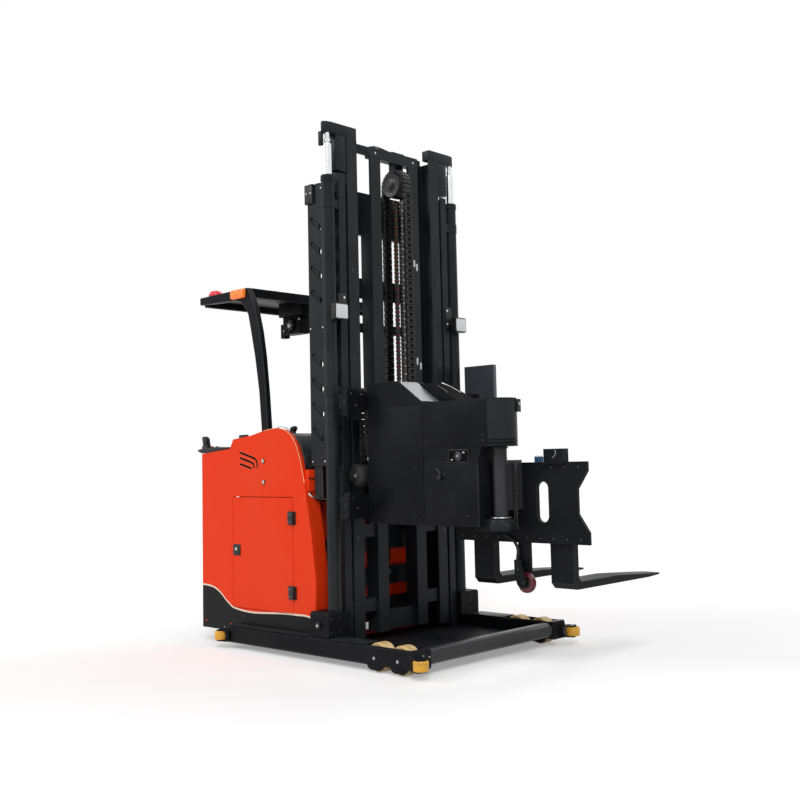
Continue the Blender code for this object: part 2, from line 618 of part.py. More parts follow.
for label, s in SIDES:
    cyl = (CYL_X, s * CYL_Y)
    cap_out = CYL_Y + 0.040
    cap_shape = [(0, MID_Y0), (0, CYL_Y - 0.022), (-0.008, CYL_Y + 0.018), (CYL_X, cap_out - 0.002),
                 (CYL_X - 0.020, cap_out - 0.006), (-CAP_D + 0.005, CYL_Y + 0.013),
                 (-CAP_D, CYL_Y - 0.022), (-CAP_D, MID_Y0)]
    cap_shape = [(x, s * y) for x, y in cap_shape]
    cap = outline(cap_shape, "XY", MID_Z1 + GAP, MID_Z1 + CAP_H)
    join(cap, rod(NECK_D / 2, (*cyl, MID_Z1 - NECK_H - 0.01), (*cyl, MID_Z1 + CAP_H / 2), sides=16),
         rod(ROD_D / 2, (*cyl, ROD_Z0), (*cyl, MID_Z1 - NECK_H)),
         block(GUSSET_X, pair(s, MID_Y1 + 2 * GAP, GUSSET_Y), (MID_Z1 - GUSSET_H, MID_Z1 + CAP_H / 2)))
    node("middle_cap_rod_" + label, cap, steel, origin=(*cyl, MID_Z0))

    barrel = rod(BARREL_D / 2, (*cyl, FOOT_TOP + GAP), (*cyl, BARREL_Z1))
    join(barrel, rod(GLAND_D / 2, (*cyl, BARREL_Z1 - GLAND_H), (*cyl, BARREL_Z1 + 0.004)))
    for z in CLAMP_Z:
        join(barrel, block((CYL_X - 0.03, CYL_X + 0.02), pair(s, OUTER_Y1 + GAP, CYL_Y - 0.02),
                           (z, z + CLAMP_H)))
    cut(barrel, rod(ROD_D / 2 + GAP, (*cyl, BORE_Z0), (*cyl, BARREL_Z1 + 0.05)))
    node("lift_barrel_" + label, barrel, black)

    low, high = sorted(pair(s, COVER_Y - COVER_T, COVER_Y))
    cover = block((COVER_X0, COVER_X1), (low, high), (COVER_Z0, COVER_Z1))
    middle = (COVER_X0 + COVER_X1) / 2 + COVER_SHIFT
    for z in COVER_SLOTS:
        turn = (Matrix.Translation((middle, 0, z))
                @ Matrix.Rotation(math.radians(-SLOT_TILT), 4, "Y"))
        cut(cover, block((-SLOT_L / 2, SLOT_L / 2), (low - 0.01, high + 0.01),
                         (-SLOT_W / 2, SLOT_W / 2), bevel=SLOT_W * 0.45, segments=2, along=1,
                         turn=turn))
    join(cover, block((COVER_X0, COVER_X0 + COVER_T), pair(s, COVER_Y - COVER_LIP, COVER_Y - 0.001),
                      (COVER_Z0 + 0.001, COVER_Z1 - 0.001)),
         block((COVER_X0 - 0.012, COVER_X0 + 0.06), pair(s, COVER_Y - 0.02, COVER_Y + 0.014),
               (COVER_Z1 - COVER_BOX_H, COVER_Z1 + 0.01)))
    for z in COVER_ARM_Z:
        join(cover, block((-MAST_D + 0.01, -MAST_D + 0.05),
                          pair(s, OUTER_Y1 + GAP, COVER_Y - COVER_T / 2),
                          (z, z + COVER_ARM_H)))
    node("mast_cover_" + label, cover, black, smooth=False)

    lamp = block((LAMP_X0, LAMP_X1), pair(s, LAMP_Y - LAMP_W / 2, LAMP_Y + LAMP_W / 2),
                 (LAMP_Z, LAMP_Z + LAMP_H), bevel=0.008, segments=2, along=0)
    join(lamp, block((GAP, LAMP_X0 + 0.008),
                     pair(s, OUTER_Y1 - 0.04, CYL_Y - BARREL_D / 2 - TIE_GAP),
                     (LAMP_Z + 0.03, LAMP_Z + LAMP_H + 0.07)))
    node("work_lamp_" + label, lamp, lens)

# inner stage with the pulley
inner = block((-INNER_TOP_D, 0), (-INNER_Y1, INNER_Y1), (INNER_Z1 - INNER_TOP_H, INNER_Z1))
for label, s in SIDES:
    join(inner, block((-INNER_D, 0), pair(s, INNER_Y0, INNER_Y1), (INNER_Z0, INNER_NECK_Z)),
         block((-INNER_FACE_T, -0.001), pair(s, INNER_Y0, INNER_Y1 - 0.001),
               (INNER_NECK_Z - 0.01, INNER_Z1 - 0.001)))
    shoes(inner, s, INNER_Y1 - 0.01, MID_Y1 - WEB - GAP)
join(inner, block((-INNER_D + 0.001, -0.03), (-INNER_Y1 + 0.01, INNER_Y1 - 0.01),
                  (INNER_Z0 + 0.001, INNER_Z0 + INNER_LOW_H)))
cheek = PULLEY_W / 2 + RUN
for label, s in SIDES:
    join(inner, block((PULLEY_X - 0.022, PULLEY_X + 0.022),
                      (PULLEY_Y + s * cheek, PULLEY_Y + s * (cheek + CHEEK_T)),
                      (pulley_z - 0.03, INNER_Z1 - INNER_TOP_H / 2)))
join(inner, rod(PULLEY_PIN / 2, (PULLEY_X, PULLEY_Y - cheek - CHEEK_T / 2, pulley_z),
                (PULLEY_X, PULLEY_Y + cheek + CHEEK_T / 2, pulley_z), sides=16))
node("inner_stage_frame", inner, black, origin=(0, 0, INNER_Z0))
wheel("chain_pulley", (PULLEY_X, PULLEY_Y, pulley_z), "Y", PULLEY_D, PULLEY_W, PULLEY_PIN, dark)

arc = [math.radians(a) for a in range(0, 181, 15)]
loop_in = (PULLEY_D / 2 + RUN) / math.cos(arc[1] / 2)
loop_out = loop_in + CHAIN_T
loop_low = pulley_z - CHAIN_DROP
chain_shape = [(PULLEY_X + loop_out, loop_low)]
chain_shape += [(PULLEY_X + loop_out * math.cos(a), pulley_z + loop_out * math.sin(a)) for a in arc]
chain_shape += [(PULLEY_X - loop_out, loop_low), (PULLEY_X - loop_in, loop_low)]
chain_shape += [(PULLEY_X + loop_in * math.cos(a), pulley_z + loop_in * math.sin(a))
                for a in arc[::-1]]
chain_shape += [(PULLEY_X + loop_in, loop_low)]
chain_half = min(CHAIN_W, PULLEY_W) / 2
chain_y = (PULLEY_Y - chain_half, PULLEY_Y + chain_half)
node("hose_chain", outline(chain_shape, "XZ", *chain_y), dark)
for label, s, low in (("front", 1, CHAIN_FRONT_Z), ("rear", -1, CHAIN_REAR_Z)):
    node("hose_chain_" + label, block((PULLEY_X + s * loop_in, PULLEY_X + s * loop_out), chain_y,
                                      (low, loop_low - GAP)), dark)

# traverse frame on the lift carriage
frame = block((RAIL_X0, RAIL_X1), (-RAIL_Y + 0.002, RAIL_Y - 0.002), RAIL_UP)
join(frame, block((RAIL_X0, RAIL_X1), (-RAIL_Y + 0.002, RAIL_Y - 0.002), RAIL_LOW))
for label, s in SIDES:
    join(frame, block((GAP, RAIL_X0 + 0.006), pair(s, UP_Y0, UP_Y1), (UP_Z0 + 0.002, UP_Z1)))
    for z in KEEP_Z:
        join(frame, block((-INNER_D + 0.01, RAIL_X0 / 2), pair(s, UP_Y0, INNER_Y0 - GAP),
                          (z, z + KEEP_H)))
    for limits in (END_UP, END_LOW):
        join(frame, block((END_X0, END_X1), pair(s, RAIL_Y - END_W, RAIL_Y), limits,
                          bevel=0.012, segments=1, along=0))
node("traverse_frame", frame, black, origin=(0, 0, UP_Z0))

valve = block((VALVE_X0, VALVE_X1), (-UP_Y1 - GAP, -VALVE_Y + 0.10), (VALVE_Z0, VALVE_Z1))
mid_z = (VALVE_Z0 + VALVE_Z1) / 2
mid_x = (VALVE_X0 + VALVE_X1) / 2 + 0.01
join(valve, rod(MOTOR_D / 2, (mid_x, -VALVE_Y, mid_z), (mid_x, -VALVE_Y + 0.12, mid_z)))
node("traverse_motor", valve, dark, origin=(0, 0, UP_Z0))

panel = block((PANEL_X0, PANEL_X1), (RAIL_Y + GAP, RAIL_Y + GAP + PANEL_T), (PANEL_Z0, PANEL_Z1))
join(panel, block((PANEL_X1 - PANEL_T, PANEL_X1 - 0.0005),
                  (RAIL_Y + GAP + PANEL_T / 2, RAIL_Y + GAP + PANEL_FOLD),
                  (PANEL_Z0 + 0.001, PANEL_Z1 - 0.001)))
node("frame_end_panel", panel, grey, origin=(0, 0, UP_Z0), smooth=False)

# side-shift head
head_near = KING_Y - ARM_W / 2
head_far = head_near + HEAD_W
arm_far = head_near + ARM_W
head = outline([(HEAD_X0, HEAD_Z0), (HEAD_X1, HEAD_Z0), (HEAD_X1, ARM_Z1), (SLOPE_X, HEAD_Z1),
                (HEAD_X0, HEAD_Z1)], "XZ", head_near, head_far)
join(head, outline([(HEAD_X1 - 0.02, HEAD_Z0 + 0.001), (WALL_X, HEAD_Z0 + 0.001),
                    (WALL_X, ARM_Z0 - 0.07), (KING_X - COLUMN_D / 2 - 0.006, ARM_Z0 - 0.0005),
                    (KING_X, ARM_Z0 - 0.0005), (KING_X, ARM_Z1 - 0.0005),
                    (HEAD_X1 - 0.02, ARM_Z1 - 0.0005)], "XZ", head_near + 0.0005, arm_far),
     rod(ARM_W / 2 - 0.0008, (KING_X, KING_Y, ARM_Z0), (KING_X, KING_Y, ARM_Z1), sides=40),
     block((WALL_X - 0.06, KING_X), (KING_Y - LUG_W / 2 + 0.001, KING_Y + LUG_W / 2 - 0.001),
           (LUG_Z0 + 0.001, LUG_Z1 - 0.001)),
     rod(LUG_W / 2, (KING_X, KING_Y, LUG_Z0), (KING_X, KING_Y, LUG_Z1), sides=28),
     rod(PIN_D / 2, (KING_X, KING_Y, LUG_Z1 - 0.02), (KING_X, KING_Y, ARM_Z0 + 0.02), sides=20),
     rod(0.022, (KING_X, KING_Y, LUG_Z0 - 0.018), (KING_X, KING_Y, LUG_Z0 + 0.01), sides=12),
     outline([(HUMP_X0, HUMP_Z0), (HUMP_X1, HUMP_Z0), (HUMP_X1, ARM_Z1 - 0.02),
              (SLOPE_X + 0.10, HEAD_Z1 - 0.012), (HUMP_X0, HEAD_Z1 - 0.012)], "XZ",
             head_far - 0.06, head_far + HUMP_W))
shoe_y = (head_near + 0.015, head_far - 0.015)
for z0, z1, lip in ((RAIL_UP[0], RAIL_UP[1], 1), (RAIL_LOW[0], RAIL_LOW[1], -1)):
    edge = z1 if lip > 0 else z0
    join(head, block((RAIL_X1 + GAP, HEAD_X0 + 0.01), shoe_y,
                     (z0 - (LIP_T if lip < 0 else 0.0), z1 + (LIP_T if lip > 0 else 0.0))),
         block((LIP_X, RAIL_X1 + 0.012), shoe_y, (edge + lip * GAP, edge + lip * LIP_T)))
node("side_shift_head", head, black, origin=(KING_X, KING_Y, LUG_Z0))

slope = math.atan2(HEAD_Z1 - ARM_Z1, HEAD_X1 - SLOPE_X)
slope_l = math.hypot(HEAD_Z1 - ARM_Z1, HEAD_X1 - SLOPE_X)
turn = (Matrix.Translation((SLOPE_X, 0, HEAD_Z1)) @ Matrix.Rotation(slope, 4, "Y"))
node("head_cover", block((0.012, slope_l - 0.012), (head_near + 0.01, head_far - 0.068),
                         (GAP, GAP + COVER_PLATE_T), turn=turn), steel,
     origin=(KING_X, KING_Y, LUG_Z0), smooth=False)

# fork carriage on the kingpin
pivot = (KING_X, KING_Y, LUG_Z1 + GAP)
column = rod(COLUMN_D / 2, (KING_X, KING_Y, LUG_Z1 + GAP), (KING_X, KING_Y, ARM_Z0 - GAP - 0.0005),
             sides=28)
plate_y = KING_Y + PLATE_OFF
join(column, block((KING_X - BRACKET_W / 2, KING_X + BRACKET_W / 2), (KING_Y, plate_y - GAP),
                   (BRACKET_Z0, BRACKET_Z1)))
cut(column, rod(PIN_D / 2 + GAP, (KING_X, KING_Y, LUG_Z1 - 0.05), (KING_X, KING_Y, ARM_Z0 + 0.05),
                sides=20))
node("swing_column", column, black, origin=pivot)

widths = (PLATE_HALF, PLATE_HALF, PLATE_WAIST, PLATE_WAIST, PLATE_HALF, PLATE_HALF)
right_edge = [(KING_X + w, z) for w, z in zip(widths, PLATE_Z)]
left_edge = [(2 * KING_X - x, z) for x, z in right_edge[::-1]]
plate = outline(right_edge + left_edge, "XZ", plate_y, plate_y + PLATE_T)
for s in (-1, 1):
    x = KING_X + s * SLOT_OFF
    cut(plate, block((x - PLATE_SLOT_W / 2, x + PLATE_SLOT_W / 2), (plate_y - 0.05, plate_y + 0.07),
                     PLATE_SLOT_Z, bevel=PLATE_SLOT_W * 0.48, segments=4, along=1))
block_x = KING_X + BLOCK_OFF
join(plate, block((block_x - BLOCK_W / 2, block_x + BLOCK_W / 2),
                  (plate_y + PLATE_T / 2 - BLOCK_T / 2, plate_y + PLATE_T / 2 + BLOCK_T / 2),
                  (PLATE_Z[-1] - 0.01, PLATE_Z[-1] + BLOCK_H)),
     block((LEG_X - LEG_W / 2, LEG_X + LEG_W / 2), (plate_y + 0.001, plate_y + PLATE_T - 0.001),
           (LEG_Z0, PLATE_Z[0] + 0.02)),
     rod(SMALL_PIN / 2, (SMALL_X, plate_y + PLATE_T / 2, SMALL_Z),
         (SMALL_X, plate_y - SMALL_W - 2 * RUN, SMALL_Z), sides=12),
     rod(SMALL_PIN, (SMALL_X, plate_y - SMALL_W - 2 * RUN, SMALL_Z),
         (SMALL_X, plate_y - SMALL_W - 2 * RUN - 0.006, SMALL_Z), sides=12))
node("fork_plate", plate, black, origin=pivot)
wheel("support_wheel", (SMALL_X, plate_y - RUN - SMALL_W / 2, SMALL_Z), "Y", SMALL_D, SMALL_W,
      SMALL_PIN, maroon, sides=28)

fork_y = plate_y + PLATE_T + GAP
heel = fork_y + FORK_T
tip = heel + FORK_L
for label, s in (("rear", -1), ("front", 1)):
    centre = KING_X + s * FORK_OFF
    side_view = [(fork_y, FORK_TOP), (fork_y, FORK_Z0 + 0.03), (fork_y + 0.03, FORK_Z0),
                 (tip - 0.01, FORK_Z0), (tip, FORK_Z0 + TIP_T / 2), (tip - 0.01, FORK_Z0 + TIP_T),
                 (heel + 0.45 * FORK_L, FORK_Z0 + BLADE_T), (heel + 0.02, FORK_Z0 + BLADE_T),
                 (heel, FORK_Z0 + BLADE_T + 0.02), (heel, FORK_TOP)]
    fork = outline(side_view, "YZ", centre - FORK_W / 2, centre + FORK_W / 2)
    for side in (-1, 1):
        edge = centre + side * FORK_W / 2
        inset = centre + side * TIP_W / 2
        cut(fork, outline([(edge + side * 0.02, tip - 0.16), (edge, tip - 0.16), (inset, tip + 0.02),
                           (edge + side * 0.02, tip + 0.02)], "XY", FORK_Z0 - 0.02,
                          FORK_Z0 + BLADE_T + 0.02))
    node("fork_" + label, fork, black, origin=pivot)
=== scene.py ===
# Stand-on aisle stacker with a three-way fork head: the finish of every surface, a floor, lamps and a camera.
import json
import math
import bpy
import bmesh
from mathutils import Matrix, Vector


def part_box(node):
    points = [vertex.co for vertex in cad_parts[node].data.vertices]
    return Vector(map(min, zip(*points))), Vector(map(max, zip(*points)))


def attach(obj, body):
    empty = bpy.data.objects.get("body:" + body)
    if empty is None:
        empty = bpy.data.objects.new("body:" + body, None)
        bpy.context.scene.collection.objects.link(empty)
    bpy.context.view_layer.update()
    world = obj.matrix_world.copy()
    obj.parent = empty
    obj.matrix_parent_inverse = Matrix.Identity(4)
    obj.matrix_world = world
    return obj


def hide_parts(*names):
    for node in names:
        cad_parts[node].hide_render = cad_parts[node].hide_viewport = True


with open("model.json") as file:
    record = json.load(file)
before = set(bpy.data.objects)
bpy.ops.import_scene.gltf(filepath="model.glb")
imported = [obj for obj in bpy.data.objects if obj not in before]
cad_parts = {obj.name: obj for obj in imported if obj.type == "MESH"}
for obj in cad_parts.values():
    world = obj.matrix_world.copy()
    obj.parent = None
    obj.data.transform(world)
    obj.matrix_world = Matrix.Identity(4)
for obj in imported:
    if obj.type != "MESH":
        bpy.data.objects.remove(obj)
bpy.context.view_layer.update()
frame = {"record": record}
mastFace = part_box("outer_upright_right")[1][0]  # new pieces are modelled from the mast's front face
print("frame loaded")


# node helpers; every pattern sits on Object coordinates
def startMaterial(name, roughness, metallic=0.0, specular=0.5, coat=0.0):
    material = bpy.data.materials.new(name)
    material.use_nodes = True
    tree = material.node_tree
    shader = tree.nodes["Principled BSDF"]
    values = {"Roughness": roughness, "Metallic": metallic, "Specular IOR Level": specular,
              "Coat Weight": coat, "Coat Roughness": 0.12}
    for socket, value in values.items():
        shader.inputs[socket].default_value = value
    place = tree.nodes.new("ShaderNodeTexCoord").outputs["Object"]
    return material, tree, shader, place


def stretched(tree, place, scale, turn=(0, 0, 0)):
    mapping = tree.nodes.new("ShaderNodeMapping")
    mapping.inputs["Scale"].default_value = scale
    mapping.inputs["Rotation"].default_value = turn
    tree.links.new(place, mapping.inputs["Vector"])
    return mapping.outputs["Vector"]


def noise(tree, place, scale, detail=3.0):
    node = tree.nodes.new("ShaderNodeTexNoise")
    node.inputs["Scale"].default_value = scale
    node.inputs["Detail"].default_value = detail
    tree.links.new(place, node.inputs["Vector"])
    return node.outputs["Fac"]


def plug(tree, socket, value):
    if isinstance(value, bpy.types.NodeSocket):
        tree.links.new(value, socket)
    elif isinstance(value, tuple):
        socket.default_value = (*value, 1)
    else:
        socket.default_value = value


def mixed(tree, factor, first, second):
    node = tree.nodes.new("ShaderNodeMix")
    node.data_type = "RGBA"
    for socket, value in zip((node.inputs[0], node.inputs[6], node.inputs[7]), (factor, first, second)):
        plug(tree, socket, value)
    return node.outputs[2]


def spread(tree, factor, low, high, start=0.0, end=1.0):
    node = tree.nodes.new("ShaderNodeMapRange")
    for socket, value in (("From Min", start), ("From Max", end), ("To Min", low), ("To Max", high)):
        node.inputs[socket].default_value = value
    tree.links.new(factor, node.inputs["Value"])
    return node.outputs["Result"]


def reckon(tree, operation, first, second=0.0):
    node = tree.nodes.new("ShaderNodeMath")
    node.operation = operation
    plug(tree, node.inputs[0], first)
    plug(tree, node.inputs[1], second)
    return node.outputs[0]


def bump(tree, shader, height, strength, distance):
    node = tree.nodes.new("ShaderNodeBump")
    node.inputs["Strength"].default_value = strength
    node.inputs["Distance"].default_value = distance
    tree.links.new(height, node.inputs["Height"])
    tree.links.new(node.outputs["Normal"], shader.inputs["Normal"])


def feed(tree, shader, name, source):
    tree.links.new(source, shader.inputs[name])


# paints
# the last colour here is a lighter black for the bevel edges: rubbed wear and painted highlight
blackLook = {"colour": (0.006, 0.0064, 0.0078), "dusty": (0.0108, 0.0112, 0.0125),
             "wornHighlight": (0.034, 0.035, 0.038)}
orangeLook = {"colour": (0.84, 0.040, 0.004), "faded": (0.82, 0.052, 0.009), "edge": (0.90, 0.10, 0.03)}


def satinPaint(name, colour, dusty, roughness, specular):
    material, tree, shader, place = startMaterial(name, roughness, specular=specular)
    cloud = noise(tree, place, 3.5, 5.0)
    grain = noise(tree, place, 420.0, 2.0)
    feed(tree, shader, "Base Color", mixed(tree, spread(tree, cloud, 0.0, 1.0, 0.42, 0.68), colour, dusty))
    rubbed = reckon(tree, "ADD", spread(tree, cloud, -0.06, 0.08, 0.3, 0.7),
                    spread(tree, noise(tree, place, 38.0, 4.0), roughness - 0.04, roughness + 0.06))
    feed(tree, shader, "Roughness", rubbed)
    bump(tree, shader, grain, 0.10, 0.0004)
    return material


def edgeHighlightAndWearPaint(name, colour, brighter, roughness):  # thin line along the bevels, lighter than the paint: painted highlight with rubbed wear
    material, tree, shader, place = startMaterial(name, roughness, specular=0.12)
    rubbed = spread(tree, noise(tree, place, 24.0, 6.0), 0.0, 1.0, 0.50, 0.62)
    feed(tree, shader, "Base Color", mixed(tree, rubbed, colour, brighter))
    return material


def orangeCoat(tree, shader, place):  # colour of the orange, with its gloss and fine bump set on the shader
    cloud = noise(tree, place, 2.2, 4.0)
    feed(tree, shader, "Roughness", spread(tree, noise(tree, place, 30.0, 4.0), 0.24, 0.38))
    bump(tree, shader, noise(tree, place, 160.0, 2.0), 0.06, 0.0006)
    return mixed(tree, spread(tree, cloud, 0.0, 1.0, 0.40, 0.70), orangeLook["colour"], orangeLook["faded"])


def sidePaint():  # orange above a cream line, black skirt below it
    material, tree, shader, place = startMaterial("orangeSidePaint", 0.30, specular=0.10, coat=0.05)
    split = tree.nodes.new("ShaderNodeSeparateXYZ")
    tree.links.new(place, split.inputs["Vector"])
    # height of the cream line against the distance from the mast's face
    line = {"xz": ((-1.253, 0.372), (-1.190, 0.370), (-1.121, 0.358), (-0.970, 0.268), (-0.921, 0.245),
                   (-0.328, 0.247), (-0.193, 0.243), (-0.160, 0.228), (-0.149, 0.219), (-0.143, 0.161)),
            "half": 0.0055, "x0": -1.30, "x1": -0.10, "z0": 0.0, "z1": 0.5}
    curve = tree.nodes.new("ShaderNodeFloatCurve")
    tree.links.new(spread(tree, split.outputs["X"], 0.0, 1.0, line["x0"] + mastFace, line["x1"] + mastFace),
                   curve.inputs["Value"])
    points = curve.mapping.curves[0].points
    spots = [((x - line["x0"]) / (line["x1"] - line["x0"]), z / line["z1"]) for x, z in line["xz"]]
    points[0].location = (0.0, spots[0][1])
    points[1].location = (1.0, 0.0)
    for spot in spots:
        points.new(*spot)
    curve.mapping.update()
    height = spread(tree, curve.outputs["Value"], line["z0"], line["z1"])
    above = reckon(tree, "SUBTRACT", split.outputs["Z"], height)
    orange = orangeCoat(tree, shader, place)
    skirt = reckon(tree, "LESS_THAN", above, 0.0)
    cream = reckon(tree, "LESS_THAN", reckon(tree, "ABSOLUTE", above), line["half"])
    body = mixed(tree, skirt, orange, (0.0055, 0.0057, 0.0062))
    feed(tree, shader, "Base Color", mixed(tree, cream, body, (0.86, 0.70, 0.56)))
    return material


def orangePaint():
    material, tree, shader, place = startMaterial("orangePaint", 0.30, specular=0.10, coat=0.05)
    feed(tree, shader, "Base Color", orangeCoat(tree, shader, place))
    return material


def metal(name, colour, roughness, streak=(60.0, 60.0, 2.0), depth=0.05):
    material, tree, shader, place = startMaterial(name, roughness, metallic=1.0)
    lines = noise(tree, stretched(tree, place, streak), 14.0, 3.0)
    darker = tuple(channel * 0.72 for channel in colour)
    feed(tree, shader, "Base Color", mixed(tree, spread(tree, lines, 0.0, 1.0, 0.35, 0.75), colour, darker))
    feed(tree, shader, "Roughness", spread(tree, lines, roughness - 0.06, roughness + 0.12))
    bump(tree, shader, lines, depth, 0.0003)
    return material


def polymer(name, colour, scuffed, roughness, specular=0.4, grain=90.0):  # tyres, plastics and rubber
    material, tree, shader, place = startMaterial(name, roughness, specular=specular)
    scuff = spread(tree, noise(tree, place, 26.0, 6.0), 0.0, 1.0, 0.46, 0.66)
    feed(tree, shader, "Base Color", mixed(tree, scuff, colour, scuffed))
    feed(tree, shader, "Roughness", spread(tree, scuff, roughness - 0.08, roughness + 0.12))
    bump(tree, shader, noise(tree, place, grain * 4, 3.0), 0.16, 0.0006)
    return material


def lensLook(name, colour, glow):
    material, tree, shader, place = startMaterial(name, 0.12, specular=0.5)
    shader.inputs["Transmission Weight"].default_value = 0.25
    shader.inputs["Emission Strength"].default_value = glow
    shader.inputs["Emission Color"].default_value = (*colour, 1)
    pale = tuple(min(1.0, channel * 1.5 + 0.05) for channel in colour)
    cells = tree.nodes.new("ShaderNodeTexVoronoi")
    cells.inputs["Scale"].default_value = 120.0
    tree.links.new(place, cells.inputs["Vector"])
    feed(tree, shader, "Base Color", mixed(tree, cells.outputs["Distance"], pale, colour))
    bump(tree, shader, cells.outputs["Distance"], 0.4, 0.001)
    return material


def wovenHose():
    material, tree, shader, place = startMaterial("hoseRubber", 0.55, specular=0.35)
    rings = tree.nodes.new("ShaderNodeTexWave")
    rings.bands_direction = "Z"
    rings.inputs["Scale"].default_value = 90.0
    rings.inputs["Distortion"].default_value = 0.6
    tree.links.new(place, rings.inputs["Vector"])
    feed(tree, shader, "Base Color",
         mixed(tree, rings.outputs["Fac"], (0.009, 0.009, 0.01), (0.02, 0.02, 0.022)))
    bump(tree, shader, rings.outputs["Fac"], 0.25, 0.0008)
    return material


black = satinPaint("blackPaint", blackLook["colour"], blackLook["dusty"], 0.42, 0.07)
mastBlack = satinPaint("mastBlackPaint", (0.0145, 0.0158, 0.0195), (0.0205, 0.0222, 0.0265), 0.34, 0.12)
tubeBlack = satinPaint("tubeBlackPaint", (0.0260, 0.0265, 0.0285), (0.0340, 0.0345, 0.0370), 0.30, 0.22)
# lighter black on bevel faces and on thin bright lines: painted highlight with rubbed wear
blackHighlightEdge = edgeHighlightAndWearPaint("blackPaintEdgeHighlight", (0.020, 0.021, 0.024), blackLook["wornHighlight"], 0.34)
orange = orangePaint()
orangeSide = sidePaint()
# lighter orange on bevel faces: painted highlight with rubbed wear
orangeHighlightEdge = edgeHighlightAndWearPaint("orangePaintEdgeHighlight", orangeLook["edge"], (0.90, 0.19, 0.08), 0.28)
chrome = metal("chromeRod", (0.86, 0.87, 0.88), 0.10, (30.0, 30.0, 3.0), 0.02)
zinc = metal("zincBolt", (0.62, 0.62, 0.60), 0.34, (40.0, 40.0, 40.0))
blackBolt = metal("blackOxideBolt", (0.055, 0.056, 0.060), 0.42, (50.0, 50.0, 50.0))
castSteel = metal("machinedSteel", (0.42, 0.42, 0.42), 0.36, (20.0, 20.0, 90.0))
silverSheet = metal("silverSheet", (0.50, 0.51, 0.53), 0.40, (4.0, 160.0, 4.0))
greaseSteel = metal("oiledChain", (0.075, 0.072, 0.068), 0.40, (80.0, 80.0, 80.0))
yellowTyre = polymer("yellowPolyurethane", (0.80, 0.42, 0.035), (0.62, 0.32, 0.045), 0.42)
creamTyre = polymer("creamPolyurethane", (0.78, 0.55, 0.24), (0.55, 0.38, 0.17), 0.45)
maroonTyre = polymer("maroonPolyurethane", (0.095, 0.006, 0.012), (0.060, 0.006, 0.010), 0.34)
blackTyre = polymer("blackTyreRubber", (0.014, 0.014, 0.015), (0.030, 0.029, 0.028), 0.70)
mouldedBlack = polymer("mouldedBlackPlastic", (0.011, 0.011, 0.012), (0.019, 0.019, 0.020), 0.52, 0.32, 220.0)
hoodPlastic = polymer("hoodPlastic", (0.020, 0.021, 0.024), (0.030, 0.031, 0.034), 0.48, 0.35, 160.0)
ribbedMat = polymer("floorMatRubber", (0.013, 0.013, 0.014), (0.022, 0.022, 0.022), 0.75)
greySheet = satinPaint("greyPanelPaint", (0.060, 0.070, 0.080), (0.075, 0.086, 0.096), 0.36, 0.45)
# grey for the lit part of the black roof's underside: painted light
roofLitGrey = satinPaint("roofUndersideLitPaint", (0.085, 0.085, 0.078), (0.11, 0.11, 0.10), 0.50, 0.4)
redLens = lensLook("redLens", (0.72, 0.012, 0.030), 0.18)
amberLens = lensLook("amberLens", (0.92, 0.22, 0.010), 0.16)
ledLens = lensLook("ledLens", (0.62, 0.63, 0.65), 0.12)
ventDark = polymer("ventShadow", (0.004, 0.003, 0.003), (0.008, 0.006, 0.006), 0.8, 0.05)
# pale orange for the line along the side panel's front curve: painted highlight
paleHighlightEdge = edgeHighlightAndWearPaint("paleEdgeHighlight", (0.95, 0.42, 0.22), (0.98, 0.66, 0.48), 0.30)
redMark = polymer("redChainMark", (0.42, 0.012, 0.045), (0.25, 0.010, 0.030), 0.5)
warmGlow = lensLook("indicatorLens", (0.95, 0.62, 0.12), 0.5)
bluePlug = polymer("bluePlug", (0.018, 0.075, 0.17), (0.030, 0.10, 0.20), 0.40)
screenGlass = polymer("screenGlass", (0.006, 0.007, 0.009), (0.010, 0.011, 0.013), 0.14, 0.5)
hoseRubber = wovenHose()
print("materials made")


# mesh helpers; each returns a bmesh that piece() gathers
def soften(part, edges, width, segments=2):
    bmesh.ops.bevel(part, geom=edges, offset=width, segments=segments, profile=0.5, affect="EDGES",
                    clamp_overlap=True, material=-1)


def block(x, y, z, bevel=0.0, segments=2, turn=None, look=0):
    low = Vector((min(x), min(y), min(z)))
    high = Vector((max(x), max(y), max(z)))
    part = bmesh.new()
    bmesh.ops.create_cube(part, size=1.0)
    bmesh.ops.scale(part, vec=high - low, verts=part.verts)
    if bevel:
        soften(part, part.edges[:], bevel, segments)
    bmesh.ops.translate(part, vec=(low + high) / 2, verts=part.verts)
    if turn is not None:
        bmesh.ops.transform(part, matrix=turn, verts=part.verts)
    return tint(part, look)


def tint(part, look):
    for face in part.faces:
        face.material_index = look
    return part


def rod(start, end, radius, sides=32, endRadius=None, bevel=0.0, look=0):
    start, end = Vector(start), Vector(end)
    run = end - start
    part = bmesh.new()
    bmesh.ops.create_cone(part, cap_ends=True, segments=sides, radius1=radius,
                          radius2=radius if endRadius is None else endRadius, depth=run.length)
    if bevel:
        rims = [edge for edge in part.edges if edge.calc_face_angle() > 0.9 and len(edge.link_faces) == 2
                and max(len(face.verts) for face in edge.link_faces) > 4]
        soften(part, rims, bevel)
    spin = Vector((0, 0, 1)).rotation_difference(run).to_matrix().to_4x4()
    bmesh.ops.transform(part, matrix=Matrix.Translation((start + end) / 2) @ spin, verts=part.verts)
    return tint(part, look)


def peg(axis, spot, start, end, radius, sides, look=0, bevel=0.0):  # rod along one axis
    at = "XYZ".index(axis)
    ends = [(*spot[:at], level, *spot[at:]) for level in (start, end)]
    return rod(*ends, radius, sides, bevel=bevel, look=look)


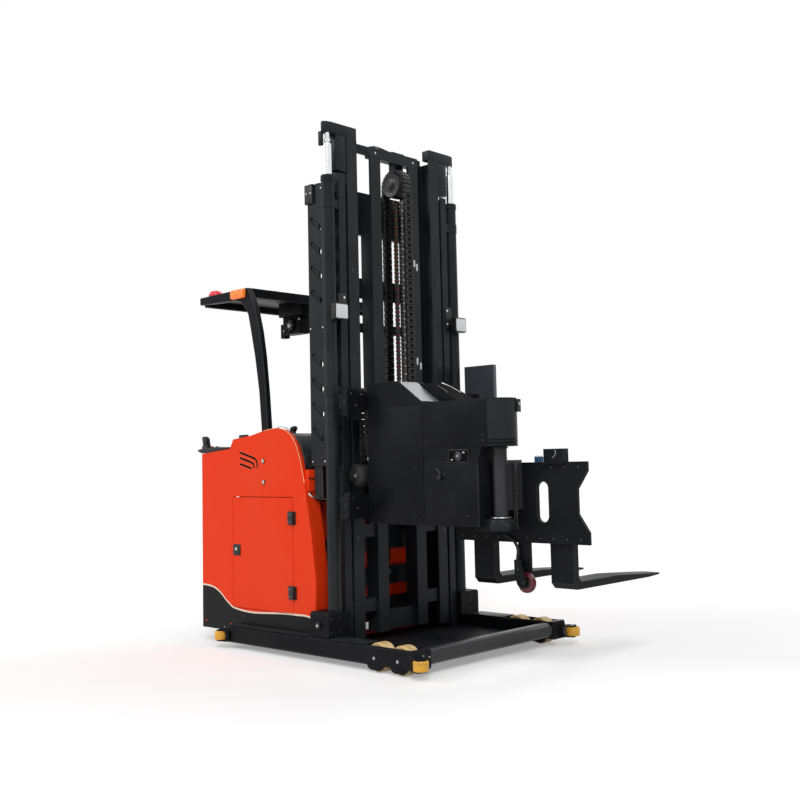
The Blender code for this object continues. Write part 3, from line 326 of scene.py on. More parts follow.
def turned(profile, centre, axis="Z", steps=48, look=0):  # closed (radius, height) outline spun full round
    part = bmesh.new()
    verts = [part.verts.new((radius, 0, height)) for radius, height in profile]
    rim = [part.edges.new(pair) for pair in zip(verts, verts[1:] + verts[:1])]
    bmesh.ops.spin(part, geom=verts + rim, cent=(0, 0, 0), axis=(0, 0, 1), angle=math.tau, steps=steps,
                   use_merge=True)
    bmesh.ops.remove_doubles(part, verts=part.verts, dist=0.00002)
    bmesh.ops.recalc_face_normals(part, faces=part.faces)
    turn = {"Z": Matrix.Identity(4), "Y": Matrix.Rotation(math.pi / 2, 4, "X"),
            "X": Matrix.Rotation(math.pi / 2, 4, "Y")}[axis]
    bmesh.ops.transform(part, matrix=Matrix.Translation(centre) @ turn, verts=part.verts)
    return tint(part, look)


def collar(inner, outer, low, high, slope, centre, axis="Z", steps=48, look=0):  # ring with sloping rims
    line = [(inner, low), (outer, low + slope), (outer, high - slope), (inner, high)]
    return turned(line, centre, axis, steps, look)


planeAxes = {"XZ": (0, 2, 1), "XY": (0, 1, 2), "YZ": (1, 2, 0)}


def plate(points, plane, low, high, bevel=0.0, segments=2, look=0):  # flat outline pushed out to a solid
    first, second, across = planeAxes[plane]
    low, high = sorted((low, high))
    part = bmesh.new()
    verts = []
    for a, b in points:
        spot = [0.0, 0.0, 0.0]
        spot[first], spot[second], spot[across] = a, b, low
        verts.append(part.verts.new(spot))
    face = part.faces.new(verts)
    pushed = bmesh.ops.extrude_face_region(part, geom=[face])
    moved = [item for item in pushed["geom"] if isinstance(item, bmesh.types.BMVert)]
    step = [0.0, 0.0, 0.0]
    step[across] = high - low
    bmesh.ops.translate(part, vec=step, verts=moved)
    bmesh.ops.recalc_face_normals(part, faces=part.faces)
    if bevel:
        sharp = [edge for edge in part.edges if edge.calc_face_angle() > 0.45]
        soften(part, sharp, bevel, segments)
    return tint(part, look)


def rounded(width, height, radius, steps=4, centre=(0.0, 0.0)):  # outline of a rectangle with round corners
    points = []
    for quarter in range(4):
        middle = ((width / 2 - radius) * (1 if quarter in (0, 3) else -1),
                  (height / 2 - radius) * (1 if quarter in (0, 1) else -1))
        for step in range(steps + 1):
            angle = math.pi / 2 * (quarter + step / steps)
            points.append((centre[0] + middle[0] + radius * math.cos(angle),
                           centre[1] + middle[1] + radius * math.sin(angle)))
    return points


def panel(plane, width, height, radius, steps, centre, low, high, bevel=0.0, look=0):  # round-cornered plate
    return plate(rounded(width, height, radius, steps, centre), plane, low, high, bevel, look=look)


def bolt(spot, way, size, look=0, washer=True, sides=6):  # head, chamfer and washer seen along way
    spot, way = Vector(spot), Vector(way).normalized()
    parts = []
    if washer:
        parts.append(rod(spot - way * 0.0005, spot + way * size * 0.12, size * 0.92, 20, look=look))
    parts += [rod(spot, spot + way * size * 0.52, size * 0.62, sides, look=look),
              rod(spot + way * size * 0.52, spot + way * size * 0.64, size * 0.62, sides, size * 0.48,
                  look=look)]
    return parts


def hose(points, radius, look=0, sides=10, smooth=6):  # round tube on a smooth curve through the points
    curve = bpy.data.curves.new("hoseRun", "CURVE")
    curve.dimensions = "3D"
    spline = curve.splines.new("BEZIER")
    spline.bezier_points.add(len(points) - 1)
    for knot, spot in zip(spline.bezier_points, points):
        knot.co = spot
        knot.handle_left_type = knot.handle_right_type = "AUTO"
    curve.resolution_u = smooth
    curve.bevel_depth = radius
    curve.bevel_resolution = max(1, sides // 4 - 1)
    curve.use_fill_caps = True
    holder = bpy.data.objects.new("hoseRun", curve)
    bpy.context.collection.objects.link(holder)
    mesh = bpy.data.meshes.new_from_object(holder.evaluated_get(bpy.context.evaluated_depsgraph_get()))
    part = bmesh.new()
    part.from_mesh(mesh)
    bmesh.ops.remove_doubles(part, verts=part.verts, dist=0.00001)
    bmesh.ops.recalc_face_normals(part, faces=part.faces)
    bpy.data.objects.remove(holder)
    bpy.data.meshes.remove(mesh)
    return tint(part, look)


def piece(name, parts, looks, body, stands=(), smooth=40.0, place=True):
    whole = bmesh.new()
    for part in parts:
        for made in part if isinstance(part, list) else [part]:
            spare = bpy.data.meshes.new("spare")
            made.to_mesh(spare)
            made.free()
            whole.from_mesh(spare)
            bpy.data.meshes.remove(spare)
    if place:
        bmesh.ops.translate(whole, vec=(mastFace, 0, 0), verts=whole.verts)
    mesh = bpy.data.meshes.new(name)
    for look in looks:
        mesh.materials.append(look)
    whole.to_mesh(mesh)
    whole.free()
    mesh.shade_smooth()
    mesh.set_sharp_from_angle(angle=math.radians(smooth))
    made = bpy.data.objects.new(name, mesh)
    bpy.context.scene.collection.objects.link(made)
    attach(made, body)
    if stands:
        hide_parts(*stands)
    return made


def cad(node):  # box of a node, from the mast's face
    low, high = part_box(node)
    return Vector(low) - Vector((mastFace, 0, 0)), Vector(high) - Vector((mastFace, 0, 0))


bodyOf = {node: body for body, nodes in frame["record"]["behaviour"]["bodies"].items() for node in nodes}
mirrored = ((-1, "right"), (1, "left"))
uprightFace = 0.5003  # side face of the outer uprights
panelFace = 0.62  # outer face of the side panels
doorFace = -0.6202
wallFace = -0.235  # front face of the body's front wall
beamFace = 0.69  # outer face of the side beams
forkFace = -0.2  # near face of the fork plate
kingpin = (1.07, -0.35, 0)


def refined(node, width, looks, segments=2, angle=30.0, pick=None):  # bevelled copy of a CAD solid
    part = bmesh.new()
    part.from_mesh(bpy.data.objects[node].data)
    bmesh.ops.remove_doubles(part, verts=part.verts, dist=0.00002)
    bmesh.ops.dissolve_limit(part, angle_limit=math.radians(0.6), use_dissolve_boundaries=False,
                             verts=part.verts, edges=part.edges, delimit={"NORMAL"})
    bmesh.ops.recalc_face_normals(part, faces=part.faces)
    tint(part, 0)
    sharp = [edge for edge in part.edges if edge.is_manifold
             and math.radians(angle) < edge.calc_face_angle() and edge.calc_length() > 2.5 * width]
    bmesh.ops.bevel(part, geom=sharp, offset=width, offset_type="OFFSET", segments=segments, profile=0.5,
                    affect="EDGES", clamp_overlap=True, material=1 if len(looks) > 1 else -1)
    if pick is not None:
        for face in part.faces:
            chosen = pick(face.calc_center_median() - Vector((mastFace, 0, 0)), face.normal)
            if chosen is not None:
                face.material_index = chosen
    made = piece(node + "Skin", [part], looks, bodyOf[node], (node,), 50.0, place=False)
    weighted = made.modifiers.new("weightedNormals", "WEIGHTED_NORMAL")
    weighted.keep_sharp = True
    return made


# plain plate and beam work keeps its CAD shape and gets rounded edges, painted lighter there as a highlight
# with rubbed wear
blackNodes = {"side_beam_right": 0.004, "side_beam_left": 0.004, "chassis_deck": 0.002,
              "outer_upright_right": 0.003, "outer_upright_left": 0.003, "middle_upright_right": 0.003,
              "middle_upright_left": 0.003, "mast_lower_tie": 0.003, "mast_upper_tie": 0.003,
              "middle_back_plate": 0.002, "inner_stage_frame": 0.003, "traverse_frame": 0.003,
              "fork_plate": 0.003, "fork_front": 0.003,
              "fork_rear": 0.003, "drive_fork": 0.002, "mast_cover_right": 0.0012, "mast_cover_left": 0.0012,
              "battery": 0.006, "operator_floor": 0.002}
for node, width in blackNodes.items():
    lighter = any(word in node for word in ("upright", "tie", "mast_cover", "inner_stage", "back_plate"))
    refined(node, width, (mastBlack if lighter else black, blackHighlightEdge))
refined("side_shift_head", 0.005, (black, blackHighlightEdge, ventDark),
        pick=lambda spot, normal: 2 if normal.z > 0.3 and spot.y > -0.29 and spot.x > 0.31 else None)
refined("swing_column", 0.002, (tubeBlack, blackHighlightEdge))
refined("front_crossmember", 0.003, (black, blackHighlightEdge, tubeBlack),
        pick=lambda spot, normal: 2 if spot.x > 0.60 and abs(normal.y) < 0.5 else None)
for node in ("guard_post_right", "guard_post_left"):
    refined(node, 0.006, (black, blackHighlightEdge), 3)
for node in ("side_panel_right", "side_panel_left", "access_door"):
    refined(node, 0.003, (orangeSide,))
refined("front_panel", 0.002, (orange, orangeHighlightEdge))
refined("hood", 0.006, (hoodPlastic,), 3)
refined("guard_roof", 0.004, (black, blackHighlightEdge))
refined("frame_end_panel", 0.0015, (greySheet,))
refined("head_cover", 0.0012, (silverSheet,))
print("plate and beam work finished")


# wheels and rollers: tyre, hub and bearing turned round their own pin
def wheelSet(node, axis, tyre, hub, crown, faceDepth, hubShare, capLook, boltCount):
    low, high = cad(node)
    centre = (low + high) / 2
    size = high - low
    radius = size.z / 2 if axis == "Y" else size.x / 2
    half = (size.y if axis == "Y" else size.z) / 2
    rim, seat = radius * hubShare, radius * hubShare * 0.55
    pin = radius * 0.16
    tyreLine = [(rim, half - faceDepth * 0.3), (radius - crown * 1.6, half),
                (radius - crown * 0.4, half - crown), (radius, half - crown * 2.4),
                (radius, crown * 2.4 - half), (radius - crown * 0.4, crown - half),
                (radius - crown * 1.6, -half), (rim, faceDepth * 0.3 - half)]
    hubLine = [(pin, half - faceDepth * 0.6), (seat, half - faceDepth * 0.6),
               (seat * 1.06, half - faceDepth), (rim * 0.9, half - faceDepth),
               (rim * 0.96, half - faceDepth * 0.35), (rim, half - faceDepth * 0.3),
               (rim, faceDepth * 0.3 - half), (rim * 0.96, faceDepth * 0.35 - half),
               (rim * 0.9, faceDepth - half), (seat * 1.06, faceDepth - half),
               (seat, faceDepth * 0.6 - half), (pin, faceDepth * 0.6 - half)]
    parts = [turned(tyreLine, centre, axis, 64, 0), turned(hubLine, centre, axis, 48, 1)]
    across = Vector((0, 1, 0)) if axis == "Y" else Vector((0, 0, 1))
    for side in (-1, 1):
        for step in range(boltCount):
            angle = math.tau * step / boltCount
            spot = (Vector((math.cos(angle), 0, math.sin(angle)))
                    if axis == "Y" else Vector((math.cos(angle), math.sin(angle), 0))) * rim * 0.72
            parts.append(bolt(centre + spot + across * side * (half - faceDepth), across * side, 0.0055, 2))
    piece(node + "Skin", parts, (tyre, hub, capLook), bodyOf[node], (node,), 35.0)


for corner in ("rear_right", "rear_left", "front_right", "front_left"):
    wheelSet("load_wheel_" + corner, "Y", creamTyre, castSteel, 0.004, 0.010, 0.62, zinc, 0)
    wheelSet("guide_roller_" + corner, "Z", yellowTyre, castSteel, 0.003, 0.004, 0.60, zinc, 0)
wheelSet("support_wheel", "Y", maroonTyre, blackBolt, 0.003, 0.004, 0.55, zinc, 0)
wheelSet("drive_wheel", "Y", blackTyre, castSteel, 0.006, 0.014, 0.62, zinc, 6)
wheelSet("chain_pulley", "Y", mouldedBlack, castSteel, 0.003, 0.010, 0.62, zinc, 0)
print("wheels turned")

# lift cylinders: barrel with gland nut, chromed rod with its neck, and the cap on the middle stage
cylinder = {"x": -0.025, "y": 0.567,
            "capLine": ((0, 0.338), (0, 0.545), (-0.008, 0.585), (-0.025, 0.605), (-0.045, 0.6),
                        (-0.06, 0.58), (-0.065, 0.545), (-0.065, 0.338)), "clamps": (1.55, 2.7),
            "foot": 0.2903}
for side, name in mirrored:
    spot = (cylinder["x"], side * cylinder["y"])
    clamps = [block((spot[0] - 0.03, spot[0] + 0.02), (side * uprightFace, side * 0.547), (z, z + 0.06),
                    0.003) for z in cylinder["clamps"]]
    clamps += [collar(0.0402, 0.0435, z, z + 0.06, 0.001, (*spot, 0)) for z in cylinder["clamps"]]
    foot = cylinder["foot"]
    wall = turned([(0.0285, 0.502), (0.0285, 2.902), (0.039, 2.904), (0.0415, 2.9015), (0.044, 2.8995),
                   (0.0445, 2.868), (0.0425, 2.8655), (0.0402, 2.864), (0.04, 2.86), (0.04, foot + 0.02),
                   (0.042, foot + 0.016), (0.042, foot), (0.004, foot), (0.004, 0.502)], (*spot, 0))
    piece("liftBarrel_" + name, [wall, *clamps], (mastBlack, blackHighlightEdge), "chassis",
          ("lift_barrel_" + name,))
    shaft = turned([(0.0001, 0.602), (0.0262, 0.6), (0.0275, 0.602), (0.0275, 3.09), (0.025, 3.1),
                    (0.0185, 3.104), (0.015, 3.108), (0.015, 3.1705), (0.0001, 3.1705)], (*spot, 0), look=1)
    neck = collar(0.015, 0.0205, 3.108, 3.132, 0.004, (*spot, 0), look=1)
    cap = plate([(x, side * y) for x, y in cylinder["capLine"]], "XY", 3.1703, 3.2385, 0.005, 3)
    gusset = block((-0.06, -0.005), (side * 0.4256, side * 0.515), (2.9455, 3.172), 0.003)
    screws = [peg("Z", (-0.036, side * y), 3.238, 3.2395, 0.01, 18, 2, 0.0004)
              for y in (0.375, 0.455, 0.567)]
    lug = block((-0.064, -0.036), (side * 0.586, side * 0.6065), (3.09, 3.178), 0.003)
    piece("capAndRod_" + name, [cap, shaft, neck, gusset, *screws, lug], (mastBlack, chrome, blackBolt),
          "mast_middle", ("middle_cap_rod_" + name,))
print("lift cylinders made")

# lamps on the guard
low, high = cad("beacon")
centre = (low + high) / 2
dome = [(0.0001, low.z), (0.05, low.z), (0.05, low.z + 0.003), (0.047, low.z + 0.005),
        (0.047, low.z + 0.007)]
lens = [(0.0001, low.z + 0.006), (0.0475, low.z + 0.006), (0.0485, low.z + 0.009), (0.0475, low.z + 0.02),
        (0.044, low.z + 0.028), (0.038, low.z + 0.035), (0.028, low.z + 0.0405), (0.015, low.z + 0.043),
        (0.0001, high.z)]
piece("beaconDome", [turned(dome, (centre.x, centre.y, 0), look=1), turned(lens, (centre.x, centre.y, 0))],
      (redLens, mouldedBlack), "chassis", ("beacon",))
low, high = cad("marker_lamp")
middle = (low.x + high.x) / 2
cells = [plate(rounded(0.066, high.z - low.z - 0.006, 0.01, 4,
                       (middle + side * 0.0345, (low.z + high.z) / 2)), "XZ", low.y + 0.0004, low.y + 0.014,
               0.004) for side in (-1, 1)]
base = plate(rounded(high.x - low.x, high.z - low.z, 0.014, 5, (middle, (low.z + high.z) / 2)), "XZ",
             low.y + 0.01, high.y, 0.002)
piece("markerLens", [base, *cells], (amberLens, mouldedBlack), "chassis", ("marker_lamp",))

# work lamps on the mast: housing, bezel and pale lens on a bent bracket
lamp = {"y": 0.55, "wide": 0.11, "z": 2.01, "high": 0.1}
for side, name in mirrored:
    middle = (side * lamp["y"], lamp["z"] + lamp["high"] / 2)
    face = rounded(lamp["wide"], lamp["high"], 0.012, 4, middle)
    inner = rounded(lamp["wide"] - 0.016, lamp["high"] - 0.016, 0.008, 4, middle)
    bracket = block((0.0003, 0.006), (side * 0.46, side * 0.522), (2.04, 2.18), 0.0015, look=1)
    tab = block((0.0003, 0.026), (side * 0.49, side * 0.522), (2.06, 2.085), 0.0015, look=1)
    fins = [block((0.0205, 0.04),
                  (side * lamp["y"] + 0.008 * k - 0.0015, side * lamp["y"] + 0.008 * k + 0.0015),
                  (2.012, 2.108), look=1) for k in range(-6, 7)]
    piece("workLamp_" + name,
          [plate(face, "YZ", 0.036, 0.0625, 0.004, look=1), plate(inner, "YZ", 0.058, 0.0648, 0.0015),
           bracket, tab, *fins,
           *[bolt((0.006, side * 0.475, z), (1, 0, 0), 0.009, 2) for z in (2.065, 2.155)]],
          (ledLens, mouldedBlack, zinc), "chassis", ("work_lamp_" + name,))
print("lamps made")

# energy chain over the pulley, and the pulley's disc
chainRun = {"front": (0.0505, 0.0755, 1.3, 2.8797), "rear": (-0.1375, -0.1125, 1.0, 2.8797),
            "y": (0.0105, 0.0795), "pitch": 0.0395}
for label in ("front", "rear"):
    x0, x1, foot, top = chainRun[label]
    y0, y1 = chainRun["y"]
    parts = [block((x0 + 0.004, x1 - 0.004), (y0 + 0.006, y1 - 0.006), (foot, top), look=1)]
    count = int((top - foot) / chainRun["pitch"])
    step = (top - foot) / count
    for k in range(count):
        z = foot + k * step
        parts += [block((x0, x1), (y0, y1), (z + 0.0015, z + step - 0.0015), 0.0035, 1),
                  block((x1 - 0.006, x1 + 0.0004), (y0 + 0.018, y1 - 0.018), (z + 0.01, z + step - 0.01),
                        look=1)]
        if label == "front":
            parts.append(block((x0 + 0.006, x1 - 0.006), (y1 - 0.0005, y1 + 0.003), (z + 0.012, z + 0.023),
                               look=2))
    piece("energyChain_" + label, parts, (mouldedBlack, ventDark, castSteel), "mast_inner",
          ("hose_chain_" + label,), 30.0)
hub = Vector((-0.031, 0.045, 2.94))
parts = []
for k in range(12):
    angle = math.radians(7.5 + 15 * k)
    turn = Matrix.Translation(hub) @ Matrix.Rotation(-angle, 4, "Y")
    parts += [block((0.0812, 0.1058), (-0.0345, 0.0345), (-0.0112, 0.0112), 0.003, 1, turn),
              block((0.083, 0.103), (-0.0285, 0.0285), (-0.0135, 0.0135), 0.0, 1, turn, look=1)]
for side in (-1, 1):
    parts += [block((hub.x + side * 0.0812, hub.x + side * 0.1058), (0.0105, 0.0795), (z, z + 0.027), 0.003,
                    1) for z in (2.882, 2.911)]
piece("energyChainLoop", parts, (mouldedBlack, ventDark), "mast_inner", ("hose_chain",),
      30.0)
disc = [(0.0001, -0.003), (0.074, -0.003), (0.076, -0.0012), (0.076, 0.0022), (0.066, 0.0022),
        (0.064, 0.0012), (0.03, 0.0012), (0.028, 0.0022), (0.019, 0.003), (0.018, 0.008), (0.014, 0.01),
        (0.0001, 0.01)]
parts = [turned(disc, (hub.x, -0.003, hub.z), "Y", 56, 0)]
boltCircle, boltCount = 0.047, 5
parts += [bolt((hub.x + boltCircle * math.cos(a), -0.0042, hub.z + boltCircle * math.sin(a)), (0, -1, 0),
               0.005, 1) for a in [math.tau * k / boltCount for k in range(boltCount)]]
piece("pulleyDisc", parts, (tubeBlack, blackBolt), "chain_pulley")

# lift chains beside the pulley with their marked pins, and the hoses in the inner stage
parts = []
leafChain = {"foot": 1.02, "pitch": 0.0254, "links": 72,
             "strands": ((-0.06, 0.061, 0.0165, 3), (-0.012, 0.069, 0.0145, 1))}
for x, y, half, look in leafChain["strands"]:
    for k in range(leafChain["links"]):
        z = leafChain["foot"] + k * leafChain["pitch"]
        parts += [block((x - 0.007, x + 0.007), (y - half, y + half), (z, z + 0.015)),
                  block((x - 0.0055, x + 0.0055), (y - half + 0.004, y + half - 0.004),
                        (z + 0.0127, z + 0.0262)),
                  peg("Y", (x, z + 0.0075), y - half - 0.0022, y + half + 0.0022, 0.0034, 8, look
                      if k % 2 else 1)]
        if k % 2:
            parts.append(block((x + 0.0068, x + 0.0078), (y - half * 0.45, y + half * 0.45),
                               (z + 0.003, z + 0.012), look=look))
piece("leafChains", parts, (greaseSteel, castSteel, mouldedBlack, redMark), "mast_inner")
parts = []
for x, y, radius in ((-0.116, -0.068, 0.011), (-0.116, -0.041, 0.011), (-0.092, -0.055, 0.009)):
    parts.append(hose([(x, y, 0.3), (x, y, 1.2), (x, y, 2.0), (x, y, 2.84)], radius, sides=16, smooth=2))
for z in (0.45, 1.15, 1.85, 2.6):
    parts.append(block((-0.129, -0.081), (-0.083, -0.028), (z, z + 0.03), 0.003, look=1))
piece("innerHoses", parts, (hoseRubber, mouldedBlack), "mast_inner")

# hoses behind the perforated covers, screws on the covers and the box at their top
coverFace = {"y": 0.576,
             "holes": ((-0.19, 1.165), (-0.08, 1.165), (-0.19, 1.975), (-0.08, 1.975), (-0.08, 2.835))}
for side, name in mirrored:
    outer = side * coverFace["y"]
    parts = [hose([(x, side * 0.553, 0.95), (x, side * 0.556, 1.2), (x, side * 0.556, 2.0),
                   (x, side * 0.556, 2.84)], radius, sides=16, smooth=2)
             for x, radius in ((-0.1805, 0.0125), (-0.154, 0.0125), (-0.129, 0.012))]
    parts += [block((-0.194, -0.116), (side * 0.538, side * 0.5435), (z, z + 0.028), 0.002, look=1)
              for z in (1.17, 1.56, 1.95, 2.4, 2.78)]
    parts += [peg("Y", (x, z), outer - side * 0.001, outer + side * 0.0022, 0.0055, 18, 2, 0.0008)
              for x, z in coverFace["holes"]]
    parts.append(block((-0.201, -0.069), (outer - side * 0.001, outer + side * 0.0012), (2.008, 2.0105),
                       look=1))
    parts += [peg("Y", (x, 2.815), outer + side * 0.0135, outer + side * 0.0165, 0.0065, 18, 3, 0.001)
              for x in (-0.196, -0.16)]
    parts.append(panel("XZ", 0.066, 0.104, 0.008, 4, (-0.178, 2.812), outer + side * 0.0125,
                       outer + side * 0.015, 0.001, 1))
    piece("coverHoses_" + name, parts, (hoseRubber, mouldedBlack, zinc, castSteel), "chassis")

# bolts and slot marks on the uprights, cable and oval marks at the inner stage's top
for side, name in mirrored:
    parts = [bolt((-0.01, side * uprightFace, z), (0, side, 0), 0.009, 0) for z in (0.36, 0.95, 2.3, 2.86)]
    parts += [bolt((-0.138, side * uprightFace, z), (0, side, 0), 0.009, 0)
              for z in (0.36, 0.95, 1.55, 2.3, 2.86)]
    parts += [block((-0.048, -0.004), (side * uprightFace, side * 0.508), (2.772, 2.852), 0.002, look=1),
              bolt((-0.028, side * 0.508, 2.812), (0, side, 0), 0.012, 0)]
    piece("uprightBolts_" + name, parts, (blackBolt, mastBlack, zinc), "chassis")
    parts = [panel("YZ", 0.012, 0.034, 0.0055, 4, (side * 0.393, z), -0.002, 0.0008, 0.0003, 1)
             for z in (2.335, 1.79, 1.245, 0.7)]
    parts += [bolt((0.0, side * 0.372, z), (1, 0, 0), 0.0075, 1) for z in (0.3, 0.55, 3.1)]
    piece("middleMarks_" + name, parts, (castSteel, blackBolt), "mast_middle")
parts = [hose([(-0.025, -0.205, 3.152), (-0.025, -0.15, 3.166), (-0.025, -0.08, 3.162),
               (-0.025, -0.02, 3.154)], 0.0045, sides=12)]
parts += [bolt((-0.026, y, 3.15), (0, 0, 1), 0.009, 1) for y in (-0.19, -0.06, 0.06, 0.19)]
parts += [bolt((0.0, y, 3.115), (1, 0, 0), 0.008, 1) for y in (-0.175, 0.175)]
parts += [panel("YZ", 0.016, 0.048, 0.0075, 4, (y, z), -0.002, 0.001, 0.0004, 3)
          for y, z in ((0.192, 2.42), (0.168, 2.442), (0.208, 1.77), (0.176, 1.8))]
parts += [block((-0.049, -0.006), (-0.012, 0.102), (3.1502, 3.158), 0.002, look=2),
          block((-0.047, -0.012), (0.0895, 0.094), (2.846, 3.0795), 0.001, look=2),
          block((-0.047, -0.04), (0.01, 0.0892), (3.0475, 3.0795), 0.001, look=2)]
piece("innerTopFittings", parts, (hoseRubber, zinc, mastBlack, silverSheet), "mast_inner")
print("mast fittings made")

# fittings on the body: vents, round locks, screws, a painted highlight along the panel's front edge, door
# hardware
def ribbon(points, half):  # outline of a band with this half width along a line
    left, right = [], []
    for step, point in enumerate(points):
        before, after = points[max(step - 1, 0)], points[min(step + 1, len(points) - 1)]
        run = Vector((after[0] - before[0], after[1] - before[1])).normalized() * half
        left.append((point[0] - run.y, point[1] + run.x))
        right.append((point[0] + run.y, point[1] - run.x))
    return left + right[::-1]


trim = {"locks": ((-0.609, 1.176), (-0.606, 1.044)),
        "vents": (((-0.846, 1.236), (-0.698, 1.196), (-0.681, 1.187), (-0.671, 1.168), (-0.668, 1.136)),
                  ((-0.842, 1.2), (-0.729, 1.171), (-0.706, 1.16), (-0.698, 1.134)),
                  ((-0.842, 1.162), (-0.728, 1.132))),
        "screws": ((-0.554, 1.277), (-0.513, 1.218), (-0.332, 1.222), (-1.215, 0.42), (-1.215, 1.17),
                   (-0.19, 0.42), (-0.3, 1.1), (-1.215, 0.14), (-0.95, 0.14)),
        "edge": ((-0.6, 1.3672), (-0.54, 1.374), (-0.48, 1.379), (-0.44, 1.375), (-0.4, 1.366),
                 (-0.368, 1.349), (-0.34, 1.328), (-0.312, 1.297), (-0.29, 1.262), (-0.27, 1.215),
                 (-0.255, 1.17), (-0.238, 1.105), (-0.222, 1.038))}
for side, name in mirrored:
    face = side * panelFace
    parts = []
    for vent in trim["vents"]:
        parts += [plate(ribbon(vent, 0.0095), "XZ", face - side * 0.002, face + side * 0.0006, 0.0004),
                  plate(ribbon(vent, 0.0068), "XZ", face - side * 0.001, face + side * 0.001, look=1)]
    for x, z in trim["locks"]:
        parts += [peg("Y", (x, z), face - side * 0.001, face + side * 0.003, 0.015, 32, 1, 0.001),
                  peg("Y", (x, z), face, face + side * 0.006, 0.0115, 32, 2, 0.0016),
                  block((x - 0.0075, x + 0.0075), (face + side * 0.0055, face + side * 0.0064),
                        (z - 0.0013, z + 0.0013), look=1)]
    for x, z in trim["screws"]:
        parts.append(peg("Y", (x, z), face - side * 0.001, face + side * 0.0016, 0.005, 18, 3, 0.0007))
    # pale line on the panel's front curve: painted highlight
    edge = [(x, face - side * 0.001, z) for x, z in trim["edge"]]
    parts.append(hose(edge, 0.0024, look=4, sides=8, smooth=4))
    piece("bodyTrim_" + name, parts, (orangeHighlightEdge, ventDark, zinc, orange, paleHighlightEdge), "chassis")

doorFittings = {"hinges": (0.34, 0.79), "axis": (-0.325, -0.6313), "high": 0.07, "lock": (-0.8825, 0.613)}
leafs, seats = [], []
for z in doorFittings["hinges"]:
    x, y = doorFittings["axis"]
    top = z + doorFittings["high"]
    leafs += [block((x - 0.048, x - 0.004), (-0.629, -0.6204), (z - 0.004, top + 0.006), 0.0012),
              peg("Z", (x, y), z - 0.004, top + 0.004, 0.0116, 24, 0, 0.001)]
    leafs += [bolt((x - spot, -0.629, level), (0, -1, 0), 0.0042, 1, False) for spot in (0.02, 0.038)
              for level in (z + 0.012, top - 0.012)]
    seats.append(block((x + 0.0118, x + 0.0215), (-0.625, doorFace), (z - 0.004, top + 0.004), 0.001))
x, z = doorFittings["lock"]
leafs += [panel("XZ", 0.074, 0.07, 0.006, 3, (x, z), -0.624, doorFace, 0.0012),
          peg("Y", (x - 0.003, z + 0.005), -0.6235, -0.6275, 0.0105, 28, 1, 0.001),
          panel("XZ", 0.046, 0.02, 0.009, 4, (x + 0.004, z - 0.02), -0.6262, -0.6236, 0.001)]
piece("doorHardware", leafs, (mouldedBlack, zinc), "access_door")
piece("hingeSeats", seats, (mouldedBlack,), "chassis")

# front wall: small box with its cable, bright pressure hose, vertical case, a black sheet painting the shade
# of a recess, and wall plates
front = wallFace
parts = [block((front - 0.001, front + 0.036), (-0.606, -0.5), (0.984, 1.118), 0.008, 3),
         block((front + 0.034, front + 0.0385), (-0.596, -0.51), (1.045, 1.11), 0.002),
         hose([(front + 0.036, -0.606, 1.068), (front + 0.043, -0.56, 1.06), (front + 0.043, -0.5, 1.058),
               (front + 0.018, -0.445, 1.04), (front + 0.012, -0.38, 1.046), (front + 0.01, -0.3, 1.06)],
              0.0042, look=1),
         hose([(front + 0.006, -0.6, 0.985), (front + 0.024, -0.585, 0.968), (front + 0.03, -0.537, 0.938),
               (front + 0.03, -0.464, 0.93), (front + 0.026, -0.42, 0.928)], 0.0085, look=2, sides=16),
         rod((front + 0.026, -0.425, 0.928), (front + 0.024, -0.395, 0.927), 0.0125, 6, bevel=0.001,
             look=3), rod((front + 0.024, -0.396, 0.927), (front - 0.001, -0.38, 0.926), 0.009, 20, look=3),
         # thin black sheet standing for the shade inside a recess: painted shade
         block((front - 0.001, front + 0.004), (-0.497, -0.02), (0.944, 1.112), 0.001, look=4),
         block((front + 0.003, front + 0.006), (-0.488, -0.04), (1.02, 1.026), look=4),
         block((front - 0.001, front + 0.034), (-0.466, -0.384), (0.2, 0.69), 0.004, look=4),
         block((front + 0.033, front + 0.036), (-0.456, -0.394), (0.215, 0.675), 0.001, look=4)]
parts += [bolt((front, y, z), (1, 0, 0), 0.0085, 3) for y in (-0.36, 0.36, 0.5) for z in (0.26, 0.58, 0.9)]
parts += [bolt((front + 0.034, -0.425, z), (1, 0, 0), 0.006, 3) for z in (0.235, 0.655)]
piece("frontWallFittings", parts, (orange, hoseRubber, chrome, zinc, mouldedBlack), "chassis")

# controls along the rear top of the body and handles on the hood
parts = []
for side in (-1, 1):
    rest = [(-1.303, 1.262), (-1.288, 1.247), (-1.252, 1.238), (-0.985, 1.2625), (-0.99, 1.27),
            (-1.08, 1.277), (-1.235, 1.273)]
    parts.append(plate(rest, "XZ", side * 0.624, side * 0.43, 0.004, 3))
parts += [block((-1.285, -1.225), (-0.6, -0.56), (1.268, 1.29), 0.006, 3, look=1),
          plate([(-1.272, 1.285), (-1.232, 1.285), (-1.24, 1.335), (-1.262, 1.352), (-1.287, 1.348)], "XZ",
                -0.6, -0.562, 0.006, 3)]
parts += [peg("Z", (-1.2, y), 1.272, 1.284, 0.011, 28, look, 0.002)
          for y, look in ((-0.575, 2), (-0.535, 1), (0.575, 3))]
parts.append(block((-0.862, -0.8), (-0.615, -0.58), (1.322, 1.349), 0.005, 3))
for y in (-0.43, -0.1):
    parts += [peg("Z", (-0.54, y), 1.343, 1.362, 0.02, 28, 1, 0.003),
              plate([(-0.562, 1.36), (-0.518, 1.36), (-0.505, 1.385), (-0.52, 1.396), (-0.552, 1.388)],
                    "XZ", y - 0.013, y + 0.013, 0.004)]
parts.append(hose([(-0.62, -0.5, 1.344), (-0.62, -0.5, 1.375), (-0.6, -0.49, 1.392), (-0.575, -0.46, 1.386),
                   (-0.562, -0.44, 1.372)], 0.0028, look=4))
piece("bodyControls", parts, (mouldedBlack, blackBolt, redMark, warmGlow, zinc), "chassis")

